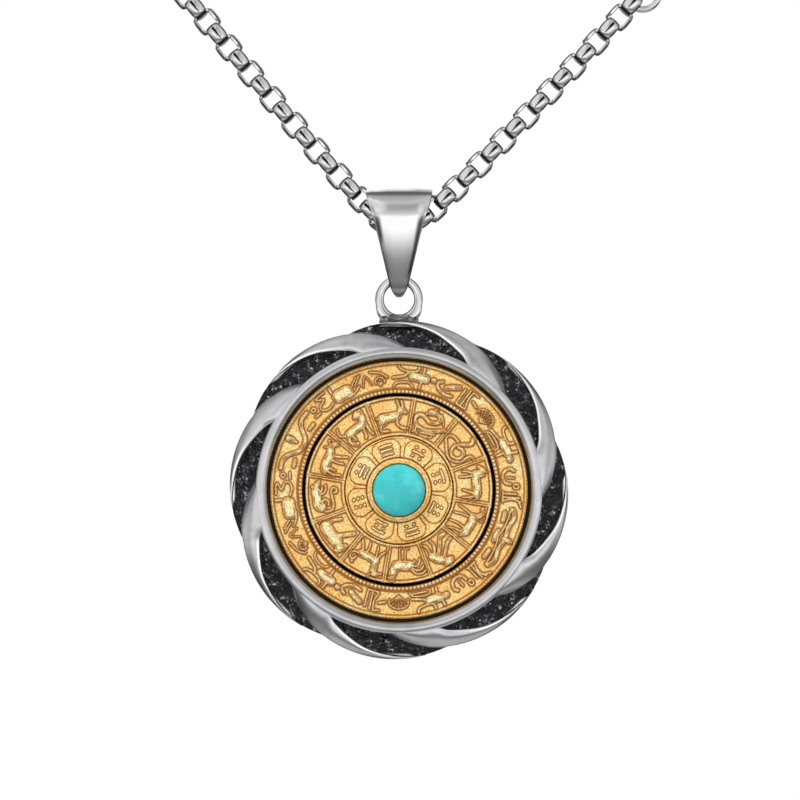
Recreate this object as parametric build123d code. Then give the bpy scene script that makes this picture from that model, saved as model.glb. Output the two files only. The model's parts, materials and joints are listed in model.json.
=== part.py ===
from build123d import *
import math
import os

# A spinner pendant in the form of a prayer wheel, hanging on a round box chain.
# Millimetres, +Z up, front towards -Y. The origin is the centre of the case's flat back, and the wheels
# turn about the Y axis. Each piece is first made about the middle plane of the chain and case, where a
# height h towards the front is at y = -h, and is then moved forwards until the case's back is at y = 0.

# --- driving dimensions ---------------------------------------------------------------------------
CASE_R = 20.0            # crests of the swirl rim
NOTCH_R = 19.3           # notches of its outline, where each rib starts
RIBS, FIRST_NOTCH = 8, -18.3   # the first notch is this many degrees clockwise from the top
CASE_BACK = -3.0         # height of the back face
FLOOR_LOW, FLOOR_TOP = -2.0, -1.4
WALL_R, WALL_BORE_R = 16.85, 15.6
BEZEL_BORE_R, BEZEL_LOW, BEZEL_TOP = 15.8, 0.9, 2.4
COVER_R, COVER_T = 15.05, 0.4
FLANGE_R = 19.1          # edge of the flange that makes the recess floors
RECESS_LOW = 0.1         # height of the recess floor at that edge

RING_R, RING_BORE_R, RING_LOW, RING_TOP = 15.2, 11.4, 0.05, 1.3
RING_FLANGE_R, RING_FLANGE_TOP = 15.5, 0.4
ZODIAC_R, ZODIAC_INNER_R, ZODIAC_LOW, ZODIAC_PLATE, ZODIAC_TOP = 11.05, 6.4, -0.5, 0.6, 1.0
TRIGRAM_R, TRIGRAM_LOW, TRIGRAM_PLATE, TRIGRAM_TOP = 6.25, 0.8, 1.05, 1.3
PETAL_R, PETAL_AT, FIRST_PETAL = 2.03, 4.1, -17.5
BAR_WIDTH, BAR_STEP, BAR_H = 0.26, 0.52, 0.2
FIRST_DIVIDER = 9.65     # clockwise from the top
RELIEF = 0.25            # how far the raised borders and figures stand above the discs
HUB_R, HUB_BORE_R = 2.15, 1.6
RUNNING = 0.05           # radial clearance of each wheel on its hub
CUP_FLANGE_R, CUP_R, STONE_R = 3.75, 3.25, 2.9
CUP_LOW, CUP_FLOOR, CUP_RIM, STONE_TOP = 1.65, 2.0, 2.45, 3.15

LOOP_Z, LOOP_HOLE_R, LOOP_OUTER_R = 22.5, 1.8, 2.85
FOOT_WIDTH, FOOT_WAIST, FOOT_DEPTH = 4.8, 4.1, 2.4
FOOT_LOW_Z, FOOT_WAIST_Z, FOOT_TOP_Z = 19.4, 20.5, 21.2
FOOT_HOLLOW = 0.25       # how far the foot stays clear of the loop's hole

BAIL_TOP_Z, BAIL_TIP_Z = 35.7, 22.65
BAIL_TOP_R, BAIL_TOP_T = 3.4, 0.6
BAIL_TIP_R, BAIL_EYE_R, BAIL_EYE_Z = 1.75, 0.75, 25.0
BAIL_TOP_WIDTH, BAIL_TIP_WIDTH = 8.0, 1.7
WIRE_CLEARANCE = 0.08    # between the bail's saddle and the loop's wire

LINK_LENGTH, LINK_WIDTH, LINK_DEPTH, LINK_T = 2.65, 3.0, 1.9, 0.3
LINK_CORNER_R, LINK_CROWN, LINK_ROUND_R = 0.85, 0.25, 1.6
PITCH, BAIL_PITCH = 2.0, 1.74
BEND_HALF = 6.2          # the chain bends within this distance of the bail's middle
# the chain's route in the XZ plane, from its clasp end to its ring end
ROUTE = [(-26.1, 59.4), (-3.45, 32.1), (0.15, 31.15), (3.85, 31.9), (29.2, 59.2)]

CLASP_T, CLASP_HEAD_R, CLASP_HEAD_AT, CLASP_EYE_R = 2.6, 3.1, 7.2, 1.3
CLASP_PIVOT = (3.6, 1.35)


def revolved(outline):
    """A solid turned about the Y axis from its outline of (radius, height) points."""
    face = make_face(Polyline(*[(r, -h) for r, h in outline], close=True))
    return revolve(face, Axis.Y)


def washer(inner_r, outer_r, low, top):
    """A flat ring about the Y axis."""
    return revolved([(inner_r, low), (outer_r, low), (outer_r, top), (inner_r, top)])


def disc(outer_r, low, top):
    """A flat disc about the Y axis."""
    return Pos(0, -(low + top) / 2, 0) * Rot(90, 0, 0) * Cylinder(outer_r, top - low)


def front_face(outline):
    """The face inside an outline of (x, z) points, in the XZ plane."""
    return make_face(Polyline(*[(x, 0, z) for x, z in outline], close=True))


def clock(r, degrees):
    """The (x, z) point at a radius and an angle, clockwise from the top as seen from the front."""
    a = math.radians(degrees)
    return (r * math.sin(a), r * math.cos(a))


def through(face, depth=4.0):
    """A face of the XZ plane made into a block that passes through it both ways."""
    return extrude(face, amount=depth, dir=(0, 1, 0), both=True)


# --- case -----------------------------------------------------------------------------------------
def make_case_body():
    """The blackened cup: back rim, floor, ledge for the outer ring, boss, wall and recess flange."""
    return revolved([
        (HUB_BORE_R, FLOOR_LOW), (14.4, FLOOR_LOW), (14.4, CASE_BACK + COVER_T),
        (COVER_R, CASE_BACK + COVER_T), (COVER_R, CASE_BACK), (16.6, CASE_BACK),
        (FLANGE_R, -1.6), (FLANGE_R, RECESS_LOW), (WALL_R, 0.75), (WALL_R, BEZEL_LOW),
        (16.1, BEZEL_LOW), (16.1, 0.45), (WALL_BORE_R, 0.45), (WALL_BORE_R, -0.15),
        (12.6, -0.15), (12.6, FLOOR_TOP), (5.0, FLOOR_TOP), (5.0, -0.75), (HUB_BORE_R, -0.75)])


def rim_radius(fraction):
    """Outline radius of the swirl rim, by the fraction of the way from one notch to the next."""
    return NOTCH_R + (CASE_R - NOTCH_R) * math.sin(math.pi * fraction) ** 0.6


def recess_outline():
    """One pointed recess between two ribs, as (x, z) points from its tip round by the bezel."""
    lead = [clock(19.45 - 0.108 * a, a) for a in (0.8, 8, 16, 24)]
    foot = [clock(16.85, a) for a in (27, 34, 41, 46)]
    trail = [clock(r, a) for r, a in ((17.4, 43.5), (18.3, 35.5), (19.1, 26), (19.5, 13))]
    return lead + foot + trail


def make_swirl_rim(case):
    """The polished rim of ribs, with an opening over each recess floor."""
    steps = 12
    outline = [clock(rim_radius(i % steps / steps), FIRST_NOTCH + i * 360 / RIBS / steps)
               for i in range(RIBS * steps)]
    blank = through(front_face(outline))
    crown = revolved([(16.9, -1.9), (19.0, -1.9), (19.7, -1.2), (20.0, -0.3), (20.0, 0.5),
                      (19.6, 1.15), (18.8, 1.7), (17.8, 2.05), (16.9, 2.15)])
    rim = blank & crown
    recess = extrude(front_face(recess_outline()), amount=4, dir=(0, -1, 0))
    recess = Pos(0, -RECESS_LOW, 0) * recess
    for k in range(RIBS):
        rim -= Rot(0, FIRST_NOTCH + k * 360 / RIBS, 0) * recess
    return rim - case


def make_bezel_ring():
    """The polished round-topped ring that frames the wheels."""
    crown_h = BEZEL_TOP - 0.35
    return revolved([(BEZEL_BORE_R, BEZEL_LOW), (WALL_R, BEZEL_LOW), (WALL_R, crown_h),
                     (16.65, 2.3), (16.45, BEZEL_TOP), (16.15, BEZEL_TOP), (15.93, 2.28),
                     (BEZEL_BORE_R, crown_h)])


def make_hanging_loop(case, rim):
    """The wire loop on the top of the case, with its flared foot."""
    wire_r = (LOOP_OUTER_R - LOOP_HOLE_R) / 2
    ring_r = (LOOP_OUTER_R + LOOP_HOLE_R) / 2
    ring = Pos(0, 0, LOOP_Z) * Rot(90, 0, 0) * Torus(ring_r, wire_r)
    low, waist, top = FOOT_WIDTH / 2, FOOT_WAIST / 2, FOOT_WAIST / 2 - wire_r
    foot_outline = [(-low, FOOT_LOW_Z), (low, FOOT_LOW_Z), (waist, FOOT_WAIST_Z), (top, FOOT_TOP_Z),
                    (-top, FOOT_TOP_Z), (-waist, FOOT_WAIST_Z)]
    foot = extrude(front_face(foot_outline), amount=FOOT_DEPTH / 2, dir=(0, 1, 0), both=True)
    foot -= Pos(0, 0, LOOP_Z) * Rot(90, 0, 0) * Cylinder(LOOP_HOLE_R + FOOT_HOLLOW, FOOT_DEPTH + 1)
    loop = foot + ring - case - rim
    return loop.solids().sort_by(SortBy.VOLUME)[-1]


# --- wheels ---------------------------------------------------------------------------------------
def make_outer_ring():
    """The outer gold wheel, with its beaded and roped borders as plain raised bands."""
    return revolved([
        (RING_BORE_R, RING_LOW), (RING_FLANGE_R, RING_LOW), (RING_FLANGE_R, RING_FLANGE_TOP),
        (RING_R, RING_FLANGE_TOP), (RING_R, RING_TOP + RELIEF), (14.75, RING_TOP + RELIEF),
        (14.75, RING_TOP), (11.9, RING_TOP), (11.9, RING_TOP + RELIEF),
        (RING_BORE_R, RING_TOP + RELIEF)])


def make_zodiac_disc():
    """The middle gold wheel: a plate on the hub, a raised field, and dividers between its twelfths."""
    plate = revolved([
        (HUB_R + RUNNING, ZODIAC_LOW), (ZODIAC_R, ZODIAC_LOW), (ZODIAC_R, ZODIAC_TOP + RELIEF),
        (10.75, ZODIAC_TOP + RELIEF), (10.75, ZODIAC_TOP), (ZODIAC_INNER_R + 0.25, ZODIAC_TOP),
        (ZODIAC_INNER_R + 0.25, ZODIAC_TOP + RELIEF), (ZODIAC_INNER_R, ZODIAC_TOP + RELIEF),
        (ZODIAC_INNER_R, ZODIAC_PLATE), (HUB_R + RUNNING, ZODIAC_PLATE)])
    bar = Pos(0, -(ZODIAC_TOP + RELIEF / 2), 8.7) * Box(0.35, RELIEF, 4.3)
    for k in range(12):
        plate += Rot(0, FIRST_DIVIDER + 30 * k, 0) * bar
    return plate


def make_trigram_disc():
    """The inner gold wheel: eight petals, each with three bars, whole or broken."""
    plate = washer(HUB_R + RUNNING, TRIGRAM_R, TRIGRAM_LOW, TRIGRAM_PLATE)
    plate += washer(HUB_R + RUNNING, CUP_FLANGE_R + RELIEF, TRIGRAM_PLATE, TRIGRAM_TOP)
    petal = Pos(0, -(TRIGRAM_LOW + TRIGRAM_TOP) / 2, PETAL_AT) * Rot(90, 0, 0) * Cylinder(
        PETAL_R, TRIGRAM_TOP - TRIGRAM_LOW)
    trigrams = ["111", "010", "100", "001", "110", "101", "000", "011"]
    for k, bars in enumerate(trigrams):
        turn = Rot(0, FIRST_PETAL + 45 * k, 0)
        plate += turn * petal
        for row, whole in enumerate(bars):
            place = Pos(0, -(TRIGRAM_TOP + BAR_H / 2), PETAL_AT + 1.35 - BAR_STEP * row)
            length = 1.9 - 0.28 * row
            if whole == "1":
                plate += turn * place * Box(length, BAR_H, BAR_WIDTH)
            else:
                for side in (-1, 1):
                    half = Pos(side * length * 0.28, 0, 0) * Box(length * 0.4, BAR_H, BAR_WIDTH)
                    plate += turn * place * half
    return plate - disc(HUB_R + RUNNING, 0, 2)


def make_stone_cup():
    """The gold cup that holds the stone, and its flange over the inner wheel."""
    return revolved([(0, 1.85), (0.8, 1.85), (0.8, CUP_LOW), (CUP_FLANGE_R, CUP_LOW), (CUP_FLANGE_R, 1.9),
                     (CUP_R, 1.95), (CUP_R, CUP_RIM), (STONE_R, CUP_RIM), (STONE_R, CUP_FLOOR),
                     (0, CUP_FLOOR)])


def make_cabochon():
    """The domed stone."""
    dome_h = STONE_TOP - CUP_RIM
    ball_r = (STONE_R ** 2 + dome_h ** 2) / (2 * dome_h)
    ball = Pos(0, -(STONE_TOP - ball_r), 0) * Sphere(ball_r)
    return ball & disc(STONE_R, CUP_FLOOR, STONE_TOP + 1)


def make_pivot_post():
    """The axle: a flange behind the floor, a shank, and a spigot for the stone cup."""
    return revolved([(0, -2.4), (3.0, -2.4), (3.0, FLOOR_LOW), (HUB_BORE_R, FLOOR_LOW),
                     (HUB_BORE_R, CUP_LOW), (0.8, CUP_LOW), (0.8, 1.85), (0, 1.85)])


# --- bail -----------------------------------------------------------------------------------------
def teardrop(top_r, top_z, tip_r, tip_z):
    """The face around a large circle above a small one and their common tangents, in the YZ plane."""
    lean = math.asin((top_r - tip_r) / (top_z - tip_z))
    y_top, z_top = top_r * math.cos(lean), top_z + top_r * math.sin(lean)
    y_tip, z_tip = tip_r * math.cos(lean), tip_z + tip_r * math.sin(lean)
    sides = [(0, -y_top, z_top), (0, -y_tip, z_tip), (0, y_tip, z_tip), (0, y_top, z_top)]
    outline = [ThreePointArc(sides[0], (0, 0, top_z + top_r), sides[3]), Line(sides[3], sides[2]),
               ThreePointArc(sides[2], (0, 0, tip_z - tip_r), sides[1]), Line(sides[1], sides[0])]
    return make_face(outline)


BAIL_AXIS_Z = BAIL_TOP_Z - BAIL_TOP_R


def make_bail():
    """The tapered bail: a band folded round the chain above and the case's loop below."""
    shell = teardrop(BAIL_TOP_R, BAIL_AXIS_Z, BAIL_TIP_R, BAIL_TIP_Z + BAIL_TIP_R)
    inside = teardrop(BAIL_TOP_R - BAIL_TOP_T, BAIL_AXIS_Z, BAIL_EYE_R, BAIL_EYE_Z)
    band = extrude(shell - inside, amount=BAIL_TOP_WIDTH / 2, dir=(1, 0, 0), both=True)
    top, tip = BAIL_TOP_WIDTH / 2, BAIL_TIP_WIDTH / 2
    front = [(-top, BAIL_TOP_Z + 0.1), (top, BAIL_TOP_Z + 0.1), (top - 0.03, BAIL_TOP_Z - 0.4),
             (tip, BAIL_TIP_Z + 0.5), (0.45, BAIL_TIP_Z), (-0.45, BAIL_TIP_Z),
             (-tip, BAIL_TIP_Z + 0.5), (-top + 0.03, BAIL_TOP_Z - 0.4)]
    bail = band & through(front_face(front))
    wire_r = (LOOP_OUTER_R - LOOP_HOLE_R) / 2 + WIRE_CLEARANCE
    ring_r = (LOOP_OUTER_R + LOOP_HOLE_R) / 2
    return bail - Pos(0, 0, LOOP_Z) * Rot(90, 0, 0) * Torus(ring_r, wire_r)


# --- chain ----------------------------------------------------------------------------------------
def make_link():
    """One box link along X with its hole along Y: a flat band whose outside is crowned and rounded."""
    hole = RectangleRounded(LINK_LENGTH - 2 * LINK_T, LINK_WIDTH - 2 * LINK_T, LINK_CORNER_R - LINK_T)
    half = LINK_DEPTH / 2
    band = extrude(RectangleRounded(LINK_LENGTH, LINK_WIDTH, LINK_CORNER_R) - hole, half, both=True)
    crown_r = ((LINK_LENGTH / 2) ** 2 + LINK_CROWN ** 2) / (2 * LINK_CROWN)
    lens = Pos(0, half - crown_r) * Circle(crown_r) & Pos(0, crown_r - half) * Circle(crown_r)
    crown = extrude(Plane.XZ * lens, LINK_WIDTH, both=True)
    link = band & crown & Rot(0, 90, 0) * Cylinder(LINK_ROUND_R, LINK_LENGTH + 1)
    return Rot(90, 0, 0) * link


def chain_path():
    """The route as straight runs joined by tangent arcs."""
    points = [Vector(x, 0, z) for x, z in ROUTE]
    runs = [b - a for a, b in zip(points, points[1:])]
    radii = []
    for before, after in zip(runs, runs[1:]):
        turn = math.radians(before.get_angle(after))
        radii.append(0.45 * min(before.length, after.length) / math.tan(turn / 2))
    print("chain arc radii", [round(r, 2) for r in radii])
    return FilletPolyline(*points, radius=radii)


def link_places(path):
    """Distances along the route of the links' centres: closer together where the chain bends."""
    half_link = LINK_LENGTH / 2
    places, at = [], half_link
    while at < path.length - half_link:
        places.append(at)
        x = (path @ (at / path.length)).X
        at += BAIL_PITCH if abs(x) < BEND_HALF else PITCH
    return places


def make_chain(path, places):
    """Every link, turned a quarter of a turn from the last one, and each link's place on the route."""
    link, links = make_link(), []
    for i, at in enumerate(places):
        centre = path @ (at / path.length)
        along = path % (at / path.length)
        pitch_angle = math.degrees(math.atan2(along.Z, along.X))
        quarter = 90 * (i % 2)
        place = Pos(*centre) * Rot(0, -pitch_angle, 0) * Rot(quarter, 0, 0)
        links.append((centre.X, place * link))
    return links


def end_frame(path, at, outwards, shift):
    """A frame past the chain's end at a distance along its route, with X pointing outwards (1 or -1)."""
    point, along = path @ (at / path.length), path % (at / path.length) * outwards
    angle = math.degrees(math.atan2(along.Z, along.X))
    return Pos(*(point + along * shift)) * Rot(0, -angle, 0)


def jump_ring(outer_r, wire_r):
    """A closed ring of round wire in the XZ plane."""
    return Rot(90, 0, 0) * Torus(outer_r - wire_r, wire_r)


# --- clasp ----------------------------------------------------------------------------------------
def slab(face, low_y, top_y):
    """A face of the XZ plane as a plate between two values of y."""
    return Pos(0, low_y, 0) * extrude(face, amount=top_y - low_y, dir=(0, 1, 0))


def cylinder_y(x, z, r, length):
    """A cylinder along Y about (x, z)."""
    return Pos(x, 0, z) * Rot(90, 0, 0) * Cylinder(r, length)


def make_clasp_body():
    """The hook of a lobster clasp along X, with its eye at the origin and its mouth on the +Z side."""
    half = CLASP_T / 2
    shank = front_face([(0.2, -1.0), (4.2, -2.6), (6.5, -3.05), (6.5, 3.05), (4.2, 2.3), (0.2, 1.1)])
    body = extrude(shank, amount=half, dir=(0, 1, 0), both=True)
    body += cylinder_y(CLASP_HEAD_AT, 0, CLASP_HEAD_R, CLASP_T)
    body += cylinder_y(0.2, 0, CLASP_EYE_R, 1.5)
    body -= cylinder_y(0.1, 0, 0.7, CLASP_T + 1)
    body -= cylinder_y(CLASP_HEAD_AT + 0.3, 0, 1.75, CLASP_T + 1)
    body -= through(front_face([(5.0, -1.1), (7.6, -1.75), (7.6, 1.75), (5.0, 1.1)]))
    body -= through(front_face([(4.4, 0.55), (7.9, 0.55), (8.6, 4.0), (4.4, 4.0)]))
    x, z = CLASP_PIVOT
    slot = extrude(front_face([(2.3, 0.35), (5.0, 0.35), (5.0, 3.4), (2.3, 3.4)]), amount=0.8,
                   dir=(0, 1, 0), both=True)
    return body - slot - cylinder_y(x, z, 0.35, CLASP_T + 1)


def make_clasp_lever():
    """The sprung gate that closes the clasp's mouth, with its thumb tab."""
    x, z = CLASP_PIVOT
    arm = slab(front_face([(3.5, 0.75), (7.4, 1.85), (7.75, 2.75), (6.0, 2.7), (5.4, 3.9), (4.6, 3.9),
                           (4.3, 2.25), (3.5, 1.95)]), -0.7, -0.05)
    gate = slab(front_face([(5.1, 1.3), (7.4, 1.85), (7.75, 2.75), (5.3, 2.65)]), -0.7, 0.7)
    knuckle = Pos(x, -0.375, z) * Rot(90, 0, 0) * Cylinder(0.75, 0.65)
    return arm + gate + knuckle - cylinder_y(x, z, 0.38, CLASP_T)


def make_clasp_spring():
    """The coil spring on the clasp's pin, beside the lever's knuckle, as three touching coils."""
    x, z = CLASP_PIVOT
    wire_r, coil_r = 0.11, 0.52
    coils = [Pos(x, 0.12 + wire_r + i * (2 * wire_r - 0.02), z) * Rot(90, 0, 0) * Torus(coil_r, wire_r)
             for i in range(3)]
    return coils[0] + coils[1] + coils[2]


# --- the pieces, by node ---------------------------------------------------------------------------
case_body = make_case_body()
swirl_rim = make_swirl_rim(case_body)
path = chain_path()
places = link_places(path)
chain_end = places[-1] + LINK_LENGTH / 2
links = make_chain(path, places)
print("chain length", round(chain_end, 2), "links", len(links))
bail_half = BAIL_TOP_WIDTH / 2 + 0.6
# a ring's wire lies inside the end link's hole, clear of its bar
END_RING_R, END_WIRE_R = 2.4, 0.4
CLASP_RING_R, CLASP_WIRE_R = 2.0, 0.35
RING_SLACK, EYE_SLACK = 0.27, 0.05
end_shift = END_RING_R - END_WIRE_R * 2 - LINK_T - RING_SLACK
clasp_shift = CLASP_RING_R - CLASP_WIRE_R * 2 - LINK_T - RING_SLACK
clasp_place = end_frame(path, 0, -1, clasp_shift + CLASP_RING_R - CLASP_WIRE_R - EYE_SLACK)
# the first link's hole faces the front; a ring lies across the hole of the link that it passes through
ring_turn = 90 * (len(links) % 2)

nodes = {
    "case_body": case_body,
    "swirl_rim": swirl_rim,
    "bezel_ring": make_bezel_ring(),
    "retaining_ring": washer(15.3, 16.1, 0.45, BEZEL_LOW),
    "back_cover": disc(COVER_R, CASE_BACK, CASE_BACK + COVER_T),
    "hanging_loop": make_hanging_loop(case_body, swirl_rim),
    "track_washer": washer(12.8, 15.4, -0.15, 0.0),
    "hub_sleeve": washer(HUB_BORE_R, HUB_R, -0.75, CUP_LOW),
    "lower_washer": washer(HUB_R, 4.8, -0.75, -0.55),
    "pivot_post": make_pivot_post(),
    "stone_cup": make_stone_cup(),
    "turquoise_cabochon": make_cabochon(),
    "outer_ring": make_outer_ring(),
    "zodiac_disc": make_zodiac_disc(),
    "disc_spacer": washer(HUB_R + RUNNING, 4.4, ZODIAC_PLATE, 0.75),
    "trigram_disc": make_trigram_disc(),
    "bail": make_bail(),
    "chain_links_left": Compound([s for x, s in links if x < -bail_half]),
    "chain_links_bail": Compound([s for x, s in links if abs(x) <= bail_half]),
    "chain_links_right": Compound([s for x, s in links if x > bail_half]),
    "clasp_ring": end_frame(path, 0, -1, clasp_shift) * Rot(90, 0, 0)
                  * jump_ring(CLASP_RING_R, CLASP_WIRE_R),
    "end_ring": end_frame(path, chain_end, 1, end_shift) * Rot(ring_turn, 0, 0)
                * jump_ring(END_RING_R, END_WIRE_R),
    "clasp_body": clasp_place * make_clasp_body(),
    "clasp_lever": clasp_place * make_clasp_lever(),
    "clasp_spring": clasp_place * make_clasp_spring(),
    "clasp_pin": clasp_place * cylinder_y(*CLASP_PIVOT, 0.35, CLASP_T),
}

os.makedirs("parts", exist_ok=True)
to_back = Pos(0, CASE_BACK, 0)
for name, shape in nodes.items():
    export_step(to_back * shape, f"parts/{name}.step")
pivot = to_back * clasp_place * Pos(CLASP_PIVOT[0], 0, CLASP_PIVOT[1])
print("clasp pivot", [round(v, 4) for v in pivot.position])
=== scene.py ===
"""A spinner prayer wheel pendant on a round box chain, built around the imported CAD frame."""
import math

import bmesh
import bpy
import numpy as np
from mathutils import Matrix, Vector, noise
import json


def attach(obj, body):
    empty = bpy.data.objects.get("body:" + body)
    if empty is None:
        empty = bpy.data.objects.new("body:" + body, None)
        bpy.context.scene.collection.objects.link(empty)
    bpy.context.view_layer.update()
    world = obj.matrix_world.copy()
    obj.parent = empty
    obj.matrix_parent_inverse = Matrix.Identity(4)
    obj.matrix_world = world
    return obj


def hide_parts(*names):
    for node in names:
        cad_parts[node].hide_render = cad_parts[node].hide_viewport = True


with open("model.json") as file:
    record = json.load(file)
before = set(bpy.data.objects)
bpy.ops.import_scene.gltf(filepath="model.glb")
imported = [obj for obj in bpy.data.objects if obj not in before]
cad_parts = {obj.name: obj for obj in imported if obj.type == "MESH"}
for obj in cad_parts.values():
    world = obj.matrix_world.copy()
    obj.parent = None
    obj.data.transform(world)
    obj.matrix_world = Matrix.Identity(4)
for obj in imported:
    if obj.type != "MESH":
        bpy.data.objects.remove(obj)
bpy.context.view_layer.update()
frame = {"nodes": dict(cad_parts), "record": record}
NODES = frame["nodes"]
MM = 0.001

# Heights along the wheels' axle are in millimetres towards the front, from the middle plane of the
# chain and case, which lies this far in front of the case's back.
MID_Y = -3.0


# --- placing and mesh making ---
def clock_point(r, degrees, height):
    """A point at a radius and an angle, clockwise from the top as seen from the front, in millimetres."""
    a = math.radians(degrees)
    return (r * math.sin(a), MID_Y - height, r * math.cos(a))


def clock_points(r, degrees, height):
    """The same for whole arrays: an array of points with the coordinates last."""
    a = np.radians(degrees)
    return np.stack([r * np.sin(a), MID_Y - height, r * np.cos(a)], axis=-1)


def new_mesh(name, points, faces, sharp):
    """A smooth-shaded object from points in millimetres, with edges over an angle kept sharp."""
    mesh = bpy.data.meshes.new(name)
    mesh.from_pydata((np.asarray(points, float).reshape(-1, 3) * MM).tolist(), [], faces)
    mesh.validate()
    bm = bmesh.new()
    bm.from_mesh(mesh)
    bmesh.ops.remove_doubles(bm, verts=bm.verts, dist=1e-7)
    bmesh.ops.recalc_face_normals(bm, faces=bm.faces)
    bm.to_mesh(mesh)
    bm.free()
    mesh.polygons.foreach_set("use_smooth", [True] * len(mesh.polygons))
    mesh.set_sharp_from_angle(angle=math.radians(sharp))
    obj = bpy.data.objects.new(name, mesh)
    bpy.context.scene.collection.objects.link(obj)
    return obj


def grid_faces(rows, columns, wrap_rows, wrap_columns, start=0):
    """Quads between neighbours in a grid of rows by columns, optionally closed either way."""
    i = np.arange(rows if wrap_rows else rows - 1)
    j = np.arange(columns if wrap_columns else columns - 1)
    i, j = np.meshgrid(i, j, indexing="ij")
    i2, j2 = (i + 1) % rows, (j + 1) % columns
    quads = np.stack([i * columns + j, i2 * columns + j, i2 * columns + j2, i * columns + j2], axis=-1)
    return (quads.reshape(-1, 4) + start).tolist()


def tube_faces(rows, around, start=0):
    """Faces of a closed tube: quads round its rows of points, and a cap at each end."""
    caps = [[start + row * around + j for j in range(around)] for row in (0, rows - 1)]
    return grid_faces(rows, around, False, True, start) + caps


def lathe(name, outline, steps, sharp):
    """A solid turned about the axle from its closed outline of (radius, height) points."""
    degrees = np.linspace(0, 360, steps, endpoint=False)[:, None]
    r = np.array([p[0] for p in outline])[None, :]
    h = np.array([p[1] for p in outline])[None, :]
    points = clock_points(r + degrees * 0, degrees + r * 0, h + degrees * 0)
    return new_mesh(name, points, grid_faces(steps, len(outline), True, True), sharp)


def clock_places(obj):
    """Each point's radius, angle and height, as clock_point takes them."""
    place = np.empty(len(obj.data.vertices) * 3)
    obj.data.vertices.foreach_get("co", place)
    x, y, z = place.reshape(-1, 3).T / MM
    return np.hypot(x, z), np.degrees(np.arctan2(x, z)), MID_Y - y


def arc(centre, radius, start, stop, steps):
    """Points of an arc in a (radius, height) outline, from one angle in degrees to another."""
    return [(centre[0] + radius * math.cos(math.radians(a)), centre[1] + radius * math.sin(math.radians(a)))
            for a in np.linspace(start, stop, steps)]


def squared(share, power):
    """A sine or cosine moved towards its limits, which makes a rounded rectangle of a circle."""
    return math.copysign(abs(share) ** power, share)


def ease(x):
    """A smooth step from 0 to 1."""
    x = min(max(x, 0), 1)
    return x * x * (3 - 2 * x)


def smooth_path(points, per_span=5):
    """A Catmull-Rom curve through a few points, as an array."""
    p = np.array(points, float)
    if len(p) < 3:
        return p
    ends = np.vstack([2 * p[0] - p[1], p, 2 * p[-1] - p[-2]])
    out = []
    for k in range(1, len(ends) - 2):
        a, b, c, d = ends[k - 1:k + 3]
        for t in np.arange(per_span) / per_span:
            out.append(0.5 * (2 * b + (c - a) * t + (2 * a - 5 * b + 4 * c - d) * t ** 2
                              + (3 * b - a - 3 * c + d) * t ** 3))
    return np.array(out + [p[-1]])


# --- materials ---
def nodes_of(name, base, metallic, roughness):
    """A new material with its Principled shader set, and its node tree for more."""
    material = bpy.data.materials.new(name)
    material.use_nodes = True
    tree = material.node_tree
    shader = tree.nodes["Principled BSDF"]
    shader.inputs["Base Color"].default_value = (*base, 1)
    shader.inputs["Metallic"].default_value = metallic
    shader.inputs["Roughness"].default_value = roughness
    return material, tree, shader


def add(tree, kind, inputs=None, **settings):
    """A new node with settings and input values."""
    node = tree.nodes.new(kind)
    for key, value in settings.items():
        setattr(node, key, value)
    for key, value in (inputs or {}).items():
        if isinstance(value, bpy.types.NodeSocket):
            tree.links.new(value, node.inputs[key])
        else:
            node.inputs[key].default_value = value
    return node


def object_noise(tree, scale, detail, rough=0.5):
    """Noise in the object's own space: scale is in features per millimetre."""
    place = add(tree, "ShaderNodeTexCoord")
    return add(tree, "ShaderNodeTexNoise", {"Vector": place.outputs["Object"], "Scale": scale / MM,
                                            "Detail": detail, "Roughness": rough}).outputs["Fac"]


def ramp(tree, fac, stops):
    """A colour ramp of (position, colour) stops."""
    node = add(tree, "ShaderNodeValToRGB", {"Fac": fac})
    elements = node.color_ramp.elements
    while len(elements) < len(stops):
        elements.new(0.5)
    for element, (position, colour) in zip(elements, stops):
        element.position = position
        element.color = (*colour, 1)
    return node.outputs["Color"]


def spread(tree, fac, low, high):
    """A value taken from a 0 to 1 input to a range."""
    node = add(tree, "ShaderNodeMapRange", {"Value": fac, "To Min": low, "To Max": high})
    return node.outputs["Result"]


def mix(tree, share, start, end):
    """A colour between two others."""
    node = add(tree, "ShaderNodeMix", {0: share, 6: start, 7: end}, data_type="RGBA")
    return node.outputs[2]


def painted(tree, name):
    """The value that is painted on a mesh under a name."""
    return add(tree, "ShaderNodeAttribute", attribute_name=name).outputs["Fac"]


def feed(tree, shader, colour, roughness):
    """Links a colour and a roughness to a shader; None keeps the shader's own."""
    for name, socket in (("Base Color", colour), ("Roughness", roughness)):
        if socket is not None:
            tree.links.new(socket, shader.inputs[name])


def bump(tree, shader, height, distance_mm, strength):
    """Bump from a height input."""
    node = add(tree, "ShaderNodeBump", {"Height": height, "Distance": distance_mm * MM, "Strength": strength})
    tree.links.new(node.outputs["Normal"], shader.inputs["Normal"])


def polished_steel():
    """Mirror-polished stainless steel with faint wear, black where shade and dark reflections are painted in
    its crevices, gaps and bevels.
    """
    material, tree, shader = nodes_of("polished_steel", (0.66, 0.66, 0.67), 1.0, 0.13)
    # Painted shade and painted dark reflections take the steel towards black.
    painted_shade = painted(tree, "painted_shade")
    tint = ramp(tree, painted_shade, [(0.0, (0.66, 0.66, 0.67)), (0.5, (0.2, 0.2, 0.205)),
                             (1.0, (0.012, 0.012, 0.013))])
    worn = spread(tree, object_noise(tree, 0.9, 4), 0.09, 0.2)
    rough = add(tree, "ShaderNodeMath", {0: painted_shade, 1: 0.3, 2: worn}, operation="MULTIPLY_ADD")
    feed(tree, shader, tint, rough.outputs["Value"])
    bump(tree, shader, object_noise(tree, 0.35, 1), 0.02, 0.2)
    return material


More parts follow.
